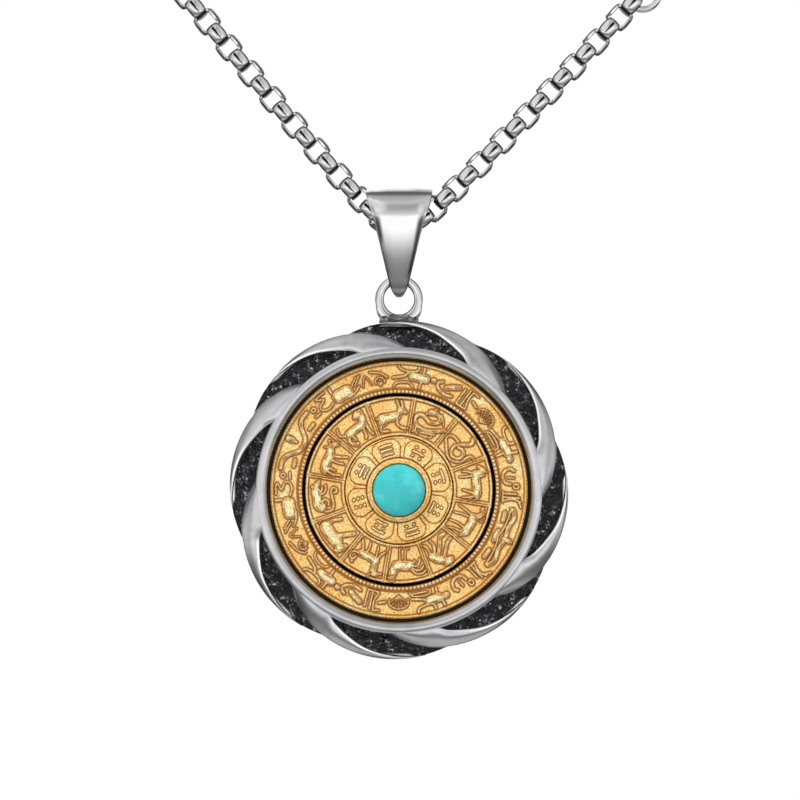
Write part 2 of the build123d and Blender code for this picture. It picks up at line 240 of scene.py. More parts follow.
def satin_rim():
    """Softly brushed stainless steel, for the swirl rim and bezel, with a painted highlight in white along
    the ribs' edges.
    """
    material, tree, shader = nodes_of("satin_rim", (0.6, 0.6, 0.61), 1.0, 0.24)
    # Painted highlight: white is mixed in along the ribs' inner edges.
    edge = painted(tree, "edge")
    tint = ramp(tree, object_noise(tree, 0.5, 3), [(0.3, (0.48, 0.48, 0.49)), (0.7, (0.57, 0.57, 0.58))])
    highlighted = mix(tree, edge, tint, (1.0, 1.0, 1.0, 1))
    feed(tree, shader, highlighted, spread(tree, object_noise(tree, 2.2, 4, 0.6), 0.18, 0.32))
    bump(tree, shader, object_noise(tree, 8, 2), 0.008, 0.3)
    return material


def satin_steel():
    """Steel with the fine concentric lines that a lathe leaves, on the back cover and small parts."""
    material, tree, shader = nodes_of("satin_steel", (0.6, 0.6, 0.62), 1.0, 0.3)
    place = add(tree, "ShaderNodeTexCoord")
    flat = add(tree, "ShaderNodeVectorMath", {0: place.outputs["Object"], 1: (1, 0, 1)}, operation="MULTIPLY")
    away = add(tree, "ShaderNodeVectorMath", {0: flat.outputs["Vector"]}, operation="LENGTH").outputs["Value"]
    rings = add(tree, "ShaderNodeTexNoise", {"W": away, "Scale": 9 / MM, "Detail": 3.0},
                noise_dimensions="1D").outputs["Fac"]
    tint = ramp(tree, rings, [(0.3, (0.52, 0.52, 0.54)), (0.7, (0.66, 0.66, 0.68))])
    feed(tree, shader, tint, spread(tree, rings, 0.2, 0.42))
    bump(tree, shader, rings, 0.02, 0.5)
    return material


def blackened_steel():
    """The antique-black finish in the recesses, worn bright on its highest grains."""
    material, tree, shader = nodes_of("blackened_steel", (0.03, 0.03, 0.032), 0.85, 0.45)
    grain = object_noise(tree, 2.6, 4, 0.6)
    high = painted(tree, "height")
    worn = add(tree, "ShaderNodeMath", {0: grain, 1: high}, operation="MULTIPLY").outputs["Value"]
    colour = ramp(tree, worn, [(0.0, (0.018, 0.018, 0.02)), (0.22, (0.035, 0.035, 0.038)),
                               (0.33, (0.15, 0.15, 0.155)), (0.43, (0.65, 0.65, 0.67))])
    feed(tree, shader, colour, spread(tree, grain, 0.3, 0.6))
    bump(tree, shader, object_noise(tree, 5, 3), 0.05, 0.7)
    return material


def gold():
    """Matt gold plating with a fine blasted grain, brown in the grooves round the figures, partly antique
    brown and partly painted shade, with painted highlights on the raised parts and painted glints in the
    grain.
    """
    material, tree, shader = nodes_of("gold", (0.95, 0.6, 0.18), 0.6, 0.4)
    groove = painted(tree, "groove")
    raised_highlight = painted(tree, "raised_highlight")
    patch = object_noise(tree, 0.35, 3)
    grain = object_noise(tree, 4.5, 3, 0.65)
    field = ramp(tree, patch, [(0.35, (0.95, 0.57, 0.17)), (0.55, (1.0, 0.66, 0.23)),
                               (0.72, (1.0, 0.8, 0.38))])
    # Painted highlight: the raised parts are mixed towards pale gold.
    highlighted = mix(tree, raised_highlight, field, (1.0, 0.85, 0.44, 1))
    # The grain's dark specks are the plating's own; its brightest specks, whiter than white, are painted
    # glints.
    specks_and_glints = ramp(tree, grain, [(0.31, (0.36, 0.26, 0.17)), (0.42, (0.84, 0.78, 0.7)), (0.54, (1, 1, 1)),
                               (0.66, (1.2, 1.4, 2.0))])
    grained = add(tree, "ShaderNodeVectorMath", {0: highlighted, 1: specks_and_glints}, operation="MULTIPLY")
    # The brown in the grooves is partly antique brown and partly painted shade.
    tint = mix(tree, groove, grained.outputs["Vector"], (0.34, 0.1, 0.01, 1))
    feed(tree, shader, tint, spread(tree, grain, 0.3, 0.5))
    bump(tree, shader, grain, 0.045, 0.8)
    return material


def bead_gold():
    """The brighter gold of the raised beads: a lit copy of the gold, as a painted highlight."""
    material, tree, shader = nodes_of("bead_gold", (0.98, 0.76, 0.38), 0.6, 0.3)
    tint = ramp(tree, object_noise(tree, 1.2, 3), [(0.35, (0.92, 0.6, 0.2)), (0.6, (1.0, 0.82, 0.46))])
    feed(tree, shader, tint, None)
    return material


def turquoise():
    """Opaque turquoise with a soft polish and faint cloudy veins."""
    material, tree, shader = nodes_of("turquoise", (0.03, 0.5, 0.51), 0.0, 0.3)
    cloud = object_noise(tree, 0.45, 4, 0.6)
    tint = ramp(tree, cloud, [(0.3, (0.02, 0.4, 0.43)), (0.55, (0.035, 0.5, 0.51)), (0.75, (0.1, 0.6, 0.6))])
    feed(tree, shader, tint, spread(tree, object_noise(tree, 1.5, 2), 0.24, 0.36))
    return material


def bronze():
    """Plain bearing bronze."""
    material, tree, shader = nodes_of("bronze", (0.5, 0.32, 0.15), 1.0, 0.35)
    feed(tree, shader, None, spread(tree, object_noise(tree, 3, 3), 0.28, 0.45))
    return material


def washer_plastic():
    """Dark low-friction plastic."""
    material, tree, shader = nodes_of("washer_plastic", (0.02, 0.018, 0.016), 0.0, 0.5)
    feed(tree, shader, None, spread(tree, object_noise(tree, 4, 3), 0.42, 0.6))
    return material


MATERIALS = {make.__name__: make() for make in (polished_steel, satin_steel, satin_rim, blackened_steel, gold,
                                                bead_gold, turquoise, bronze, washer_plastic)}


def paint(obj, name, values):
    """Stores a value at each point of a mesh for its material to read."""
    layer = obj.data.attributes.new(name, "FLOAT", "POINT")
    layer.data.foreach_set("value", values)


def finish(obj, body, slot, *replaced, look=None):
    """Gives a piece its body and the material of its slot, or of its look, and hides the CAD nodes that it
    stands for.
    """
    obj.data.materials.clear()
    obj.data.materials.append(MATERIALS[look or slot])
    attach(obj, body)
    if replaced:
        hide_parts(*replaced)
    return obj


def paint_frame():
    """Gives every CAD node its record slot's material."""
    for part in frame["record"]["subparts"]:
        mesh = NODES[part["node"]].data
        mesh.materials.clear()
        mesh.materials.append(MATERIALS[part["material_slot"]])


# --- swirl rim ---
RIBS, FIRST_NOTCH = 8, -18.3
NOTCH_R, CREST_R = 19.3, 19.98
BEZEL_R = 16.85
BAND_R = 19.1            # inside of the band that the ribs and the recesses' floor reach
PERIOD = 360 / RIBS
START = 9.0              # degrees past a notch where the rib begins, as a sliver at the outline
LEAD_END = 24.0          # degrees past a notch where the recess reaches the bezel
TRAIL_END = 47.5         # degrees past a notch where the recess leaves the bezel
FOOT_END = PERIOD + LEAD_END


def silhouette(psi):
    """Outline radius at degrees past a notch."""
    f = np.clip(psi / PERIOD, 0, 1)
    return NOTCH_R + (CREST_R - NOTCH_R) * np.sin(math.pi * f) ** 0.8


LEAD = smooth_path([(0, 19.35), (6, 18.95), (12, 18.35), (18, 17.6), (LEAD_END, BEZEL_R)])
TRAIL = smooth_path([(0, 19.3), (START, 19.66), (16, 19.62), (24, 19.34), (31, 18.86), (37, 18.17),
                     (42.5, 17.5), (TRAIL_END, BEZEL_R)])
# A rib's inner edge and its outer edge: the height at the start, the rise, and the degrees that it takes.
INNER_H, INNER_RISE, INNER_RISE_END = 0.75, 1.3, 48
OUTER_H, OUTER_RISE, OUTER_RISE_END = 0.55, 0.95, 46


def lead_edge(psi):
    """Where a recess begins, going outwards: the edge of the rib behind it, and then the bezel."""
    return np.interp(psi, LEAD[:, 0], LEAD[:, 1])


def trail_edge(psi):
    """Where a recess ends, going outwards: the inner edge of its own rib."""
    return np.interp(psi, TRAIL[:, 0], TRAIL[:, 1])


def rib_section(psi):
    """One closed cross-section of a rib at degrees past its notch, as (radius, height) points."""
    meets = ease((psi - TRAIL_END + 4) / 6)              # 1 where the rib runs into the bezel's dome
    inner = float(trail_edge(min(psi, TRAIL_END))) - 0.28 * meets
    outer = float(silhouette(psi)) if psi < PERIOD else float(lead_edge(psi - PERIOD))
    width = max(outer - inner, 0.02)
    inner_h = INNER_H + INNER_RISE * ease(psi / INNER_RISE_END) + 0.24 * meets
    outer_h = min(OUTER_H + OUTER_RISE * ease(psi / OUTER_RISE_END), inner_h - 0.12 * min(width, 1))
    bulge = 0.1 * min(width, 2)
    lip = min(0.1, width * 0.2) * (1 - meets)
    top_width = width - lip - 0.06 * (width > 0.3)
    section = [(inner, 0.0), (inner, inner_h - 0.14 * (1 - meets))]
    for t in np.linspace(0, 1, 17):
        h = inner_h + (outer_h - inner_h) * t ** 1.3 + bulge * math.sin(math.pi * t)
        section.append((inner + lip + top_width * t, h))
    section += [(outer, outer_h - 0.1), (outer, outer_h - 0.45), (outer, 0.0)]
    return section


def make_swirl_rim():
    """Eight ribs, each a closed loft from its thin start to its foot on the bezel, and their band."""
    points, faces = [], []
    stations = np.linspace(START, FOOT_END - 0.2, 76)
    for k in range(RIBS):
        start = len(points)
        for psi in stations:
            section = rib_section(psi)
            points += [clock_point(r, FIRST_NOTCH + k * PERIOD + psi, h) for r, h in section]
        faces += tube_faces(len(stations), len(section), start)
    start, steps = len(points), 360
    for i in range(steps):
        psi = i * 360 / steps
        edge = float(silhouette(psi % PERIOD))
        band = [(BAND_R, -0.3), (edge - 0.12, -0.1), (edge - 0.02, -0.2), (edge, -0.4), (edge - 0.1, -0.9),
                (edge - 0.4, -1.5), (BAND_R, -1.9)]
        points += [clock_point(r, FIRST_NOTCH + psi, h) for r, h in band]
    faces += grid_faces(steps, len(band), True, True, start)
    obj = new_mesh("swirl_rim_polished", points, faces, 50)
    away, degrees, _ = clock_places(obj)
    psi = (degrees - FIRST_NOTCH) % PERIOD
    # Painted highlight: a bright line along each rib's inner edge, fading where the rib meets the bezel.
    edge = np.zeros(len(away))
    for turns in range(3):                        # up to three ribs lie side by side at one angle
        along = psi + PERIOD * turns
        inner = np.array([float(trail_edge(p)) if START <= p < TRAIL_END else 0.0 for p in along])
        fade = np.clip((TRAIL_END - along) / 6, 0, 1)
        edge = np.maximum(edge, np.clip(2.2 - np.abs(away - inner - 0.12) / 0.12, 0, 1) * fade)
    paint(obj, "edge", edge)
    return finish(obj, "pendant", "polished_steel", "swirl_rim", look="satin_rim")


def make_bezel():
    """The low-domed ring that the ribs run into."""
    outline = [(15.52, 0.9), (16.8, 0.9), (16.88, 1.9), (16.86, 2.14), (16.78, 2.26), (16.6, 2.33),
               (16.35, 2.37), (16.1, 2.36), (15.86, 2.28), (15.68, 2.12), (15.57, 1.9), (15.52, 1.6)]
    obj = lathe("bezel_polished", outline, 360, 60)
    return finish(obj, "pendant", "polished_steel", "bezel_ring", look="satin_rim")


def make_case():
    """The turned case: steel outside, with the well that the wheels run in painted black as shade."""
    outline = [(15.62, 0.85), (16.8, 0.85), (16.8, 0.2), (19.05, 0.0), (19.32, -0.35), (19.5, -1.3)]
    outline += arc((18.35, -1.85), 1.15, -2, -88, 12) + [(15.3, -3.0), (15.2, -2.94), (15.12, -2.86)]
    outline += [(15.12, -2.58), (1.2, -2.58), (1.2, -1.4), (15.62, -1.4)]
    obj = lathe("case_turned", outline, 300, 35)
    away, _, height = clock_places(obj)
    # Painted shade: the well inside the case, seen in the gap round the wheels, is painted black.
    paint(obj, "painted_shade", ((away < 15.7) & (height > -1.5)).astype(float))
    return finish(obj, "pendant", "polished_steel", "case_body")


def make_back_cover():
    """The screwed-in cover: six key slots in its edge, turned rings, and a low dome."""
    outline = [(0.02, -2.62), (15.0, -2.62), (15.04, -2.86), (14.92, -2.98), (14.86, -3.0), (14.3, -3.0),
               (14.1, -2.98), (14.02, -2.9), (13.8, -2.9), (13.72, -2.99)]
    for r in (12.9, 12.3):
        outline += [(r + 0.1, -2.99), (r, -2.93), (r - 0.1, -2.99)]
    outline += [(11.8 * (1 - t), -2.99 + 0.06 * (1 - math.cos(math.pi * t)) / 2)
                for t in np.linspace(0, 0.998, 18)]
    steps = 360
    degrees = np.arange(steps)[:, None] * 360.0 / steps + np.zeros(len(outline))
    r, h = (np.tile([p[i] for p in outline], (steps, 1)) for i in (0, 1))
    slot_half, slot_deep = 4, 0.24                         # in degrees, and in millimetres
    from_slot = np.abs((degrees + 30) % 60 - 30)
    slot = (from_slot < slot_half) & (r > 14.25) & (r < 15.02) & (h < -2.9)
    points = clock_points(r, degrees, np.where(slot, h + slot_deep, h))
    obj = new_mesh("back_cover_turned", points, grid_faces(steps, len(outline), True, True), 20)
    return finish(obj, "pendant", "satin_steel", "back_cover")


def make_recess_floor():
    """The pitted black floor of the recesses, which reaches the outline just past each notch."""
    steps, rows = 1150, 36
    inner, reach = BEZEL_R - 0.01, 19.25           # the floor's edges where a rib covers its outer one
    most = 0.5                                     # the tallest grain
    points, lift = [], []
    for d in np.linspace(0, 360, steps, endpoint=False):
        psi = (d - FIRST_NOTCH) % PERIOD
        open_share = ease(psi / 1.5) * (1 - ease((psi - START - 2) / 5))
        outer = reach + (float(silhouette(psi)) - 0.03 - reach) * open_share
        points.append(clock_point(inner, d, 0.3))
        lift.append(0.0)
        for share in np.linspace(0, 1, rows):
            r = inner + (outer - inner) * share
            p = Vector(clock_point(r, d, 0))
            cell = noise.voronoi(p * 2.0)[0]
            grain = 0.7 * (cell[1] - cell[0]) + 0.5 * noise.noise(p * 1.3) + 0.35 * noise.noise(p * 4.0)
            lump = min(max(0.14 + 0.4 * grain, 0.0), most)
            slope = 0.75 - 0.24 * (r - BEZEL_R)
            points.append(clock_point(r, d, slope + lump * (1 - 0.8 * share ** 6)))
            lift.append(lump / most)
        points.append(clock_point(outer, d, -0.25))
        lift.append(0.0)
    obj = new_mesh("recess_floor", points, grid_faces(steps, rows + 2, True, True), 60)
    paint(obj, "height", lift)
    return finish(obj, "pendant", "blackened_steel")


# --- bail and loop ---
BAIL_TOP_Z, BAIL_TOP_R, BAIL_TIP_Z, BAIL_TIP_R, BAIL_T = 32.3, 3.3, 24.4, 1.7, 0.55
# Its whole width and its middle facet's width, each at heights from the tip up.
BAIL_WIDTHS = [(22.7, 0.7), (22.8, 1.1), (23.0, 1.45), (23.6, 1.9), (25.0, 2.7), (29.9, 5.0), (33.2, 6.9),
               (34.7, 7.7), (35.7, 8.0)]
BAIL_FACETS = [(22.7, 0.3), (23.2, 0.9), (25.0, 1.5), (28.0, 2.9), (31.0, 3.9), (34.0, 4.8), (35.7, 5.1)]
FACE_BULGE, FACE_TURN = 0.3, 7.5         # how far a face bows out, and the degrees that it turns through


def bail_profile():
    """The folded strap's outer line from the tip up the front, over the top and down the back, as
    rows of (out towards the front, up, and the outward direction), bulging a little on its faces."""
    lean = math.degrees(math.asin((BAIL_TOP_R - BAIL_TIP_R) / (BAIL_TOP_Z - BAIL_TIP_Z)))

    def bend(radius, z, start, stop, steps):
        return [(radius * math.cos(math.radians(a)), z + radius * math.sin(math.radians(a)), a)
                for a in np.linspace(start, stop, steps)]

    tip = bend(BAIL_TIP_R, BAIL_TIP_Z, -90, -lean - FACE_TURN, 16)
    top = bend(BAIL_TOP_R, BAIL_TOP_Z, -lean + FACE_TURN, 90, 40)
    face = []
    for t in np.linspace(0, 1, 32)[1:-1]:
        out = tip[-1][0] + (top[0][0] - tip[-1][0]) * t + FACE_BULGE * math.sin(math.pi * t)
        up = tip[-1][1] + (top[0][1] - tip[-1][1]) * t
        face.append((out, up, -lean - FACE_TURN * math.cos(math.pi * t)))
    rows = tip + face + top
    return rows + [(-out, up, 180 - a) for out, up, a in rows[-2:0:-1]]


def make_bail():
    """The tapered strap that hangs on the chain: a flat middle facet, bevelled sides and an open inside."""
    levels, widths = zip(*BAIL_WIDTHS)
    facet_levels, facets = zip(*BAIL_FACETS)
    points, painted_shade, rows = [], [], bail_profile()
    for out, up, a in rows:
        half = np.interp(up, levels, widths) / 2
        facet = min(np.interp(up, facet_levels, facets) / 2, half - 0.22)
        over_top = ease((math.sin(math.radians(a)) - 0.3) / 0.5)
        bevel = min(0.42, (half - facet) * 0.5) * (1 - 0.7 * over_top)
        fold = facet + (half - facet) * 0.56         # the bevel is itself in two facets
        right = [(facet * 0.5, -0.01), (facet - 0.06, 0.0), (facet + 0.04, 0.03),
                 (fold - 0.03, bevel * 0.34), (fold + 0.03, bevel * 0.4), (half - 0.04, bevel),
                 (half, bevel + 0.05), (half, BAIL_T - 0.04), (half - 0.06, BAIL_T)]
        section = [(-x, deep) for x, deep in right[::-1]] + [(0, -0.015)] + right + [(0, BAIL_T)]
        c, s = math.cos(math.radians(a)), math.sin(math.radians(a))
        points += [(x, MID_Y - (out - deep * c), up - deep * s) for x, deep in section]
        # Painted shade round the tip, and painted dark reflections along the bevels' folds, fainter on the
        # left lower down.
        tip = 0.36 * (1 - ease((up - 23.7) / 0.9))
        right_crease = 0.85 * ease((up - 24.4) / 1.5) * (1 - ease((up - 31.2) / 1.6))
        left_crease = right_crease * (0.3 + 0.7 * ease((up - 28.5) / 1.5))
        for x, _ in section:
            crease = right_crease if x > 0 else left_crease
            painted_shade.append(min(tip + crease * (abs(abs(x) - fold) < 0.05), 1))
    obj = new_mesh("bail_bevelled", points, grid_faces(len(rows), len(section), True, True), 18)
    paint(obj, "painted_shade", painted_shade)
    return finish(obj, "bail", "polished_steel", "bail")


LOOP_Z, LOOP_HOLE_R, LOOP_R = 22.5, 1.8, 2.83
LOOP_LINE_R = LOOP_HOLE_R + 0.3          # a fine line chased on both faces
FOOT_Z, FOOT_HEIGHT = 20.72, 1.5


def make_loop():
    """The fixed ring above the rim: rounded outside, bevelled inside, on a flared and pitted foot."""
    bevel = [(LOOP_HOLE_R, 0.3), (LOOP_HOLE_R + 0.14, 0.46), (LOOP_LINE_R - 0.06, 0.49), (LOOP_LINE_R, 0.49),
             (LOOP_LINE_R + 0.06, 0.52)]
    outline = bevel + arc((LOOP_R - 0.4, 0.12), 0.4, 85, 0, 8) + arc((LOOP_R - 0.4, -0.12), 0.4, 0, -85, 8)
    outline += [(r, -h) for r, h in bevel[::-1]]
    turns = np.linspace(0, 2 * math.pi, 96, endpoint=False)
    points = []
    for t in turns:
        from_top = abs((math.degrees(t) + 180) % 360 - 180)
        low = ease((from_top - 100) / 34)                  # 1 where the loop spreads into its foot
        for r, h in outline:
            wide = LOOP_HOLE_R + (r - LOOP_HOLE_R) * (1 + 0.34 * low)
            points.append((wide * math.sin(t), MID_Y - h, LOOP_Z + wide * math.cos(t)))
    faces = grid_faces(len(turns), len(outline), True, True)
    # Painted shade: dark in the hole, and less dark along the outer edge and in the chased line.
    lined = [0.95 if r <= LOOP_HOLE_R + 0.05 else 0.7 * (r > LOOP_R - 0.02 or r == LOOP_LINE_R)
             for r, _ in outline]
    painted_shade = lined * len(turns)
    start, rows, around = len(points), 15, 56
    for i in range(rows):
        t = i / (rows - 1)
        z = FOOT_Z - FOOT_HEIGHT * t
        half_w, half_d = 2.26 + 0.14 * t, 0.5 + 0.65 * t ** 1.5
        for j in range(around):
            a = 2 * math.pi * j / around
            x = half_w * squared(math.cos(a), 0.4)
            y = half_d * squared(math.sin(a), 0.4)
            pit = 0.12 * noise.noise(Vector((x, y, z)) * 3.1) if 0 < i < rows - 1 else 0
            points.append((x * (1 + 0.3 * pit), MID_Y - y * (1 + pit), z))
            # Painted shade on the foot: darkened, mottled by the noise that pits it, and lighter along its
            # sides.
            edge = abs(x) > half_w * 0.93
            painted_shade.append(0.3 if edge else min(max(0.6 + 6.0 * pit, 0), 1))
    faces += tube_faces(rows, around, start)
    obj = new_mesh("hanging_loop_polished", points, faces, 40)
    paint(obj, "painted_shade", painted_shade)
    return finish(obj, "pendant", "polished_steel", "hanging_loop")


paint_frame()
make_bail()
make_loop()
make_swirl_rim()
make_bezel()
make_case()
make_back_cover()
make_recess_floor()


# --- gold relief ---
FAR = 9.0                # a distance that stands for nothing near
LIFT = 0.34              # how far a figure stands up
CHASED = 0.05            # how deep a groove is cut


# A stroke is its half width and its points, in millimetres: clockwise along the band, then outwards
# from the band's middle radius.
ZODIAC_MID, ZODIAC_FIRST, ZODIAC_BOLD = 8.7, 24.65, 1.22
ZODIAC = {
    "dragon": [
        (.2, [(-.2, 1.2), (.5, 1.25), (.95, .8), (.65, .25), (-.1, .05), (-.7, .4), (-1.3, .55),
        (-1.8, .05), (-1.6, -.6), (-.9, -1), (.1, -1), (.9, -.7), (1.5, -.3), (2, .1)]),
        (.12, [(-.7, -1.45), (.3, -1.3), (1.2, -1)]), (.3, [(-.25, 1.2), (.1, 1.35)]), (.12, [(-.35, .95),
        (-.7, .85)]), (.08, [(0, 1.6), (.2, 1.9)]), (.08, [(.8, 1.4), (1.2, 1), (1.5, .5)]),
        (.12, [(-1.6, -.6), (-1.45, -1.3), (-1.9, -1.65)]), (.1, [(-1.45, -1.5), (-.95, -1.75)]),
        (.1, [(.8, -1), (1, -1.4), (.7, -1.65)])
    ],
    "snake": [
        (.17, [(.2, 1.9), (.45, 1.4), (.2, .75), (-.25, .15), (-.45, -.45), (-.2, -1.05), (.4, -1.3),
        (1, -1.05), (1.2, -.5), (.95, 0), (.45, .15), (0, -.1)]), (.15, [(-.6, .3), (-1.3, .3), (-1.85, 0),
        (-1.85, -.55), (-1.3, -.95), (-.6, -1.45), (.4, -1.75), (1.2, -1.4), (1.65, -.6), (1.5, .2),
        (1.65, .65), (2.1, .8)]), (.22, [(.2, 1.9), (.25, 1.8)])
    ],
    "horse": [
        (.2, [(-1.15, 1.55), (-1.6, 1.05)]), (.08, [(-1, 1.7), (-.9, 2)]), (.28, [(-.95, 1.3),
        (-1.05, .6)]), (.08, [(-.65, 1.5), (-.6, 1.1), (-.75, .7)]), (.42, [(-.9, .45), (.2, .45),
        (1.2, .5)]), (.38, [(1.35, .45), (1.3, .4)]), (.12, [(-1.2, 0), (-1.5, -.4), (-1.65, -.9)]),
        (.12, [(-.85, 0), (-.9, -.7), (-1, -1.35)]), (.13, [(1.2, .1), (1, -.5), (.8, -1.15)]),
        (.13, [(1.55, .2), (1.75, -.5), (1.85, -1.1)]), (.1, [(1.7, .7), (1.95, .3), (1.9, -.4)])
    ],
    "goat": [
        (.2, [(-1.3, 1.6), (-1.75, 1.4)]), (.08, [(-1, 1.9), (-.6, 1.9), (-.55, 1.5)]),
        (.25, [(-1.05, 1.35), (-.75, .9)]), (.42, [(-.6, .65), (.3, .65), (1.1, .55)]), (.35, [(1.35, .35),
        (1.3, .4)]), (.12, [(-.8, .5), (-1.2, -.4), (-1.6, -1.35)]), (.12, [(-.6, 0), (-.6, -.8),
        (-.45, -1.65)]), (.12, [(.8, .1), (.7, -.9), (.85, -1.8)]), (.12, [(1.4, .1), (1.55, -.8),
        (1.9, -1.5)]), (.08, [(1.6, .5), (1.95, .2)])
    ],
    "monkey": [
        (.42, [(0, 1.55), (.05, 1.5)]), (.25, [(-.3, 1.45), (-.25, 1.4)]), (.1, [(.4, 1.8), (.45, 1.7)]),
        (.4, [(.45, 1), (.95, .6), (1.3, .1)]), (.16, [(.2, .8), (-.55, .1), (-1.2, -.3), (-1.8, -.4)]),
        (.2, [(.6, .2), (-.2, -.7), (-.9, -1.35), (-1.7, -1.3)]), (.17, [(.9, -.1), (.5, -1),
        (.65, -1.65)]), (.14, [(1.4, -.3), (1.45, -1.2), (2, -1.6)])
    ],
    "rooster": [
        (.5, [(-.3, .3), (.6, .2), (1.1, .3)]), (.35, [(1.35, .6), (1.5, 1.2)]), (.22, [(1.5, 1.75),
        (1.5, 1.7)]), (.1, [(1.3, 2), (1.33, 1.95)]), (.1, [(1.5, 2.1), (1.5, 2.05)]), (.1, [(1.7, 2),
        (1.67, 1.95)]), (.09, [(1.7, 1.72), (1.9, 1.66)]), (.12, [(-.4, .6), (-.9, 1.3), (-1.5, 1.5),
        (-2, 1.25)]), (.12, [(-.5, .5), (-1.1, 1), (-1.6, 1), (-1.9, .7)]), (.12, [(-.6, .3), (-1.2, .5),
        (-1.6, .1), (-1.7, -.2)]), (.12, [(-.7, .1), (-1.1, -.1)]), (.1, [(.05, -.4), (0, -1.1),
        (-.25, -1.65), (-.6, -1.7)]), (.1, [(.7, -.4), (.7, -1.2), (.7, -1.75), (.35, -1.8)])
    ],
    "dog": [
        (.24, [(-1.2, 1.7), (-1.4, 1.55)]), (.14, [(-1.5, 1.55), (-1.85, 1.45)]), (.1, [(-.85, 1.8),
        (-.7, 2.05)]), (.28, [(-1.05, 1.3), (-1, .5)]), (.38, [(-.95, .1), (0, -.1), (.9, -.05)]),
        (.35, [(.95, -.1), (.9, -.1)]), (.13, [(-1.1, -.1), (-1.4, -.75), (-1.95, -1.2)]),
        (.12, [(-.9, -.4), (-.85, -1), (-.75, -1.55)]), (.13, [(.9, -.3), (1.2, -.9), (1.75, -1.5)]),
        (.12, [(.4, -.4), (.35, -1.1), (.5, -1.65)]), (.12, [(1.2, .1), (1.75, .2), (1.95, .65),
        (1.7, 1.05), (1.35, .95), (1.3, .6)]), (.14, [(1.35, 1.35), (1.4, 1.3)])
    ],
    "pig": [
        (.35, [(-1.35, 1.2), (-1.55, .8)]), (.2, [(-1.7, .4), (-1.65, .5)]), (.12, [(-1.5, 1.6),
        (-1.2, 1.65)]), (.6, [(-.6, .85), (.4, .9), (1.2, .95)]), (.24, [(-.3, .2), (-.8, -.6),
        (-1.35, -1.3)]), (.18, [(1.45, .7), (1.6, -.1), (1.3, -1.05)]), (.08, [(1.9, 1.5), (2.1, 1.2)])
    ],
    "rat": [
        (.45, [(-1.1, .6), (-.8, 1), (0, 1), (.6, 1.1)]), (.28, [(1, 1.2), (1.4, .95)]), (.12, [(1.5, .85),
        (1.9, .7)]), (.14, [(1.1, 1.55), (1.12, 1.5)]), (.12, [(.4, .8), (.35, .3), (.8, -.05),
        (1.35, -.05)]), (.12, [(.9, .8), (.6, .45), (1.1, .35)]), (.14, [(-.6, .5), (-.3, .1), (-.6, -.3),
        (-1, -.25)]), (.13, [(-1.7, .3), (-1.75, -.4), (-1.2, -.8), (-.1, -.8), (.6, -.7), (1.1, -.9),
        (1, -1.3), (.5, -1.3), (.45, -1)])
    ],
    "ox": [
        (.45, [(-1.3, .35), (-.5, .4), (.3, .35)]), (.35, [(.6, .5), (1, .7)]), (.26, [(1.3, .75),
        (1.8, .4)]), (.08, [(1, 1), (.8, 1.4)]), (.08, [(1.35, 1.05), (1.6, 1.4), (1.7, 1.2)]),
        (.14, [(-1.5, 0), (-1.75, -.8), (-1.6, -1.5)]), (.14, [(-1.1, -.1), (-1.2, -.8)]),
        (.14, [(-.1, -.2), (-.1, -.9), (.05, -1.45)]), (.14, [(.4, -.1), (.7, -.8), (1.15, -1.5)]),
        (.08, [(-1.8, .4), (-2, -.2), (-2, -.9)])
    ],
    "tiger": [
        (.42, [(1.05, 1.45), (1, 1.4)]), (.2, [(.6, 1.25), (.65, 1.2)]), (.1, [(.9, 1.9), (.9, 1.85)]),
        (.1, [(1.4, 1.85), (1.4, 1.8)]), (.35, [(1.2, .9), (1.1, .4)]), (.4, [(-1.1, .05), (0, .1),
        (1, .15)]), (.1, [(-1.5, .2), (-1.9, .7), (-1.6, 1.45)]), (.2, [(-1.3, -.2), (-1.55, -.8),
        (-1.3, -1.35), (-.9, -1.4)]), (.16, [(-.8, -.2), (-.8, -.9)]), (.17, [(1.3, -.1), (1.4, -.9),
        (1.6, -1.4)]), (.15, [(.8, -.3), (.7, -1.2), (.45, -1.45)])
    ],
    "rabbit": [
        (.36, [(1.1, .7), (1.05, .7)]), (.2, [(1.55, .5), (1.5, .5)]), (.12, [(.85, 1.1), (.6, 1.9)]),
        (.12, [(1.2, 1.1), (1.05, 1.85)]), (.3, [(.8, .3), (.75, .25)]), (.45, [(-1.2, -.1), (-.3, -.1),
        (.5, 0)]), (.45, [(-1.25, -.5), (-1.2, -.45)]), (.13, [(-1.6, -1), (-1.7, -1.5), (-.6, -1.7)]),
        (.15, [(.6, -.3), (.6, -.9), (1.2, -1.35), (2, -1.4)]), (.15, [(-1.9, 0), (-1.85, 0)])
    ],
}

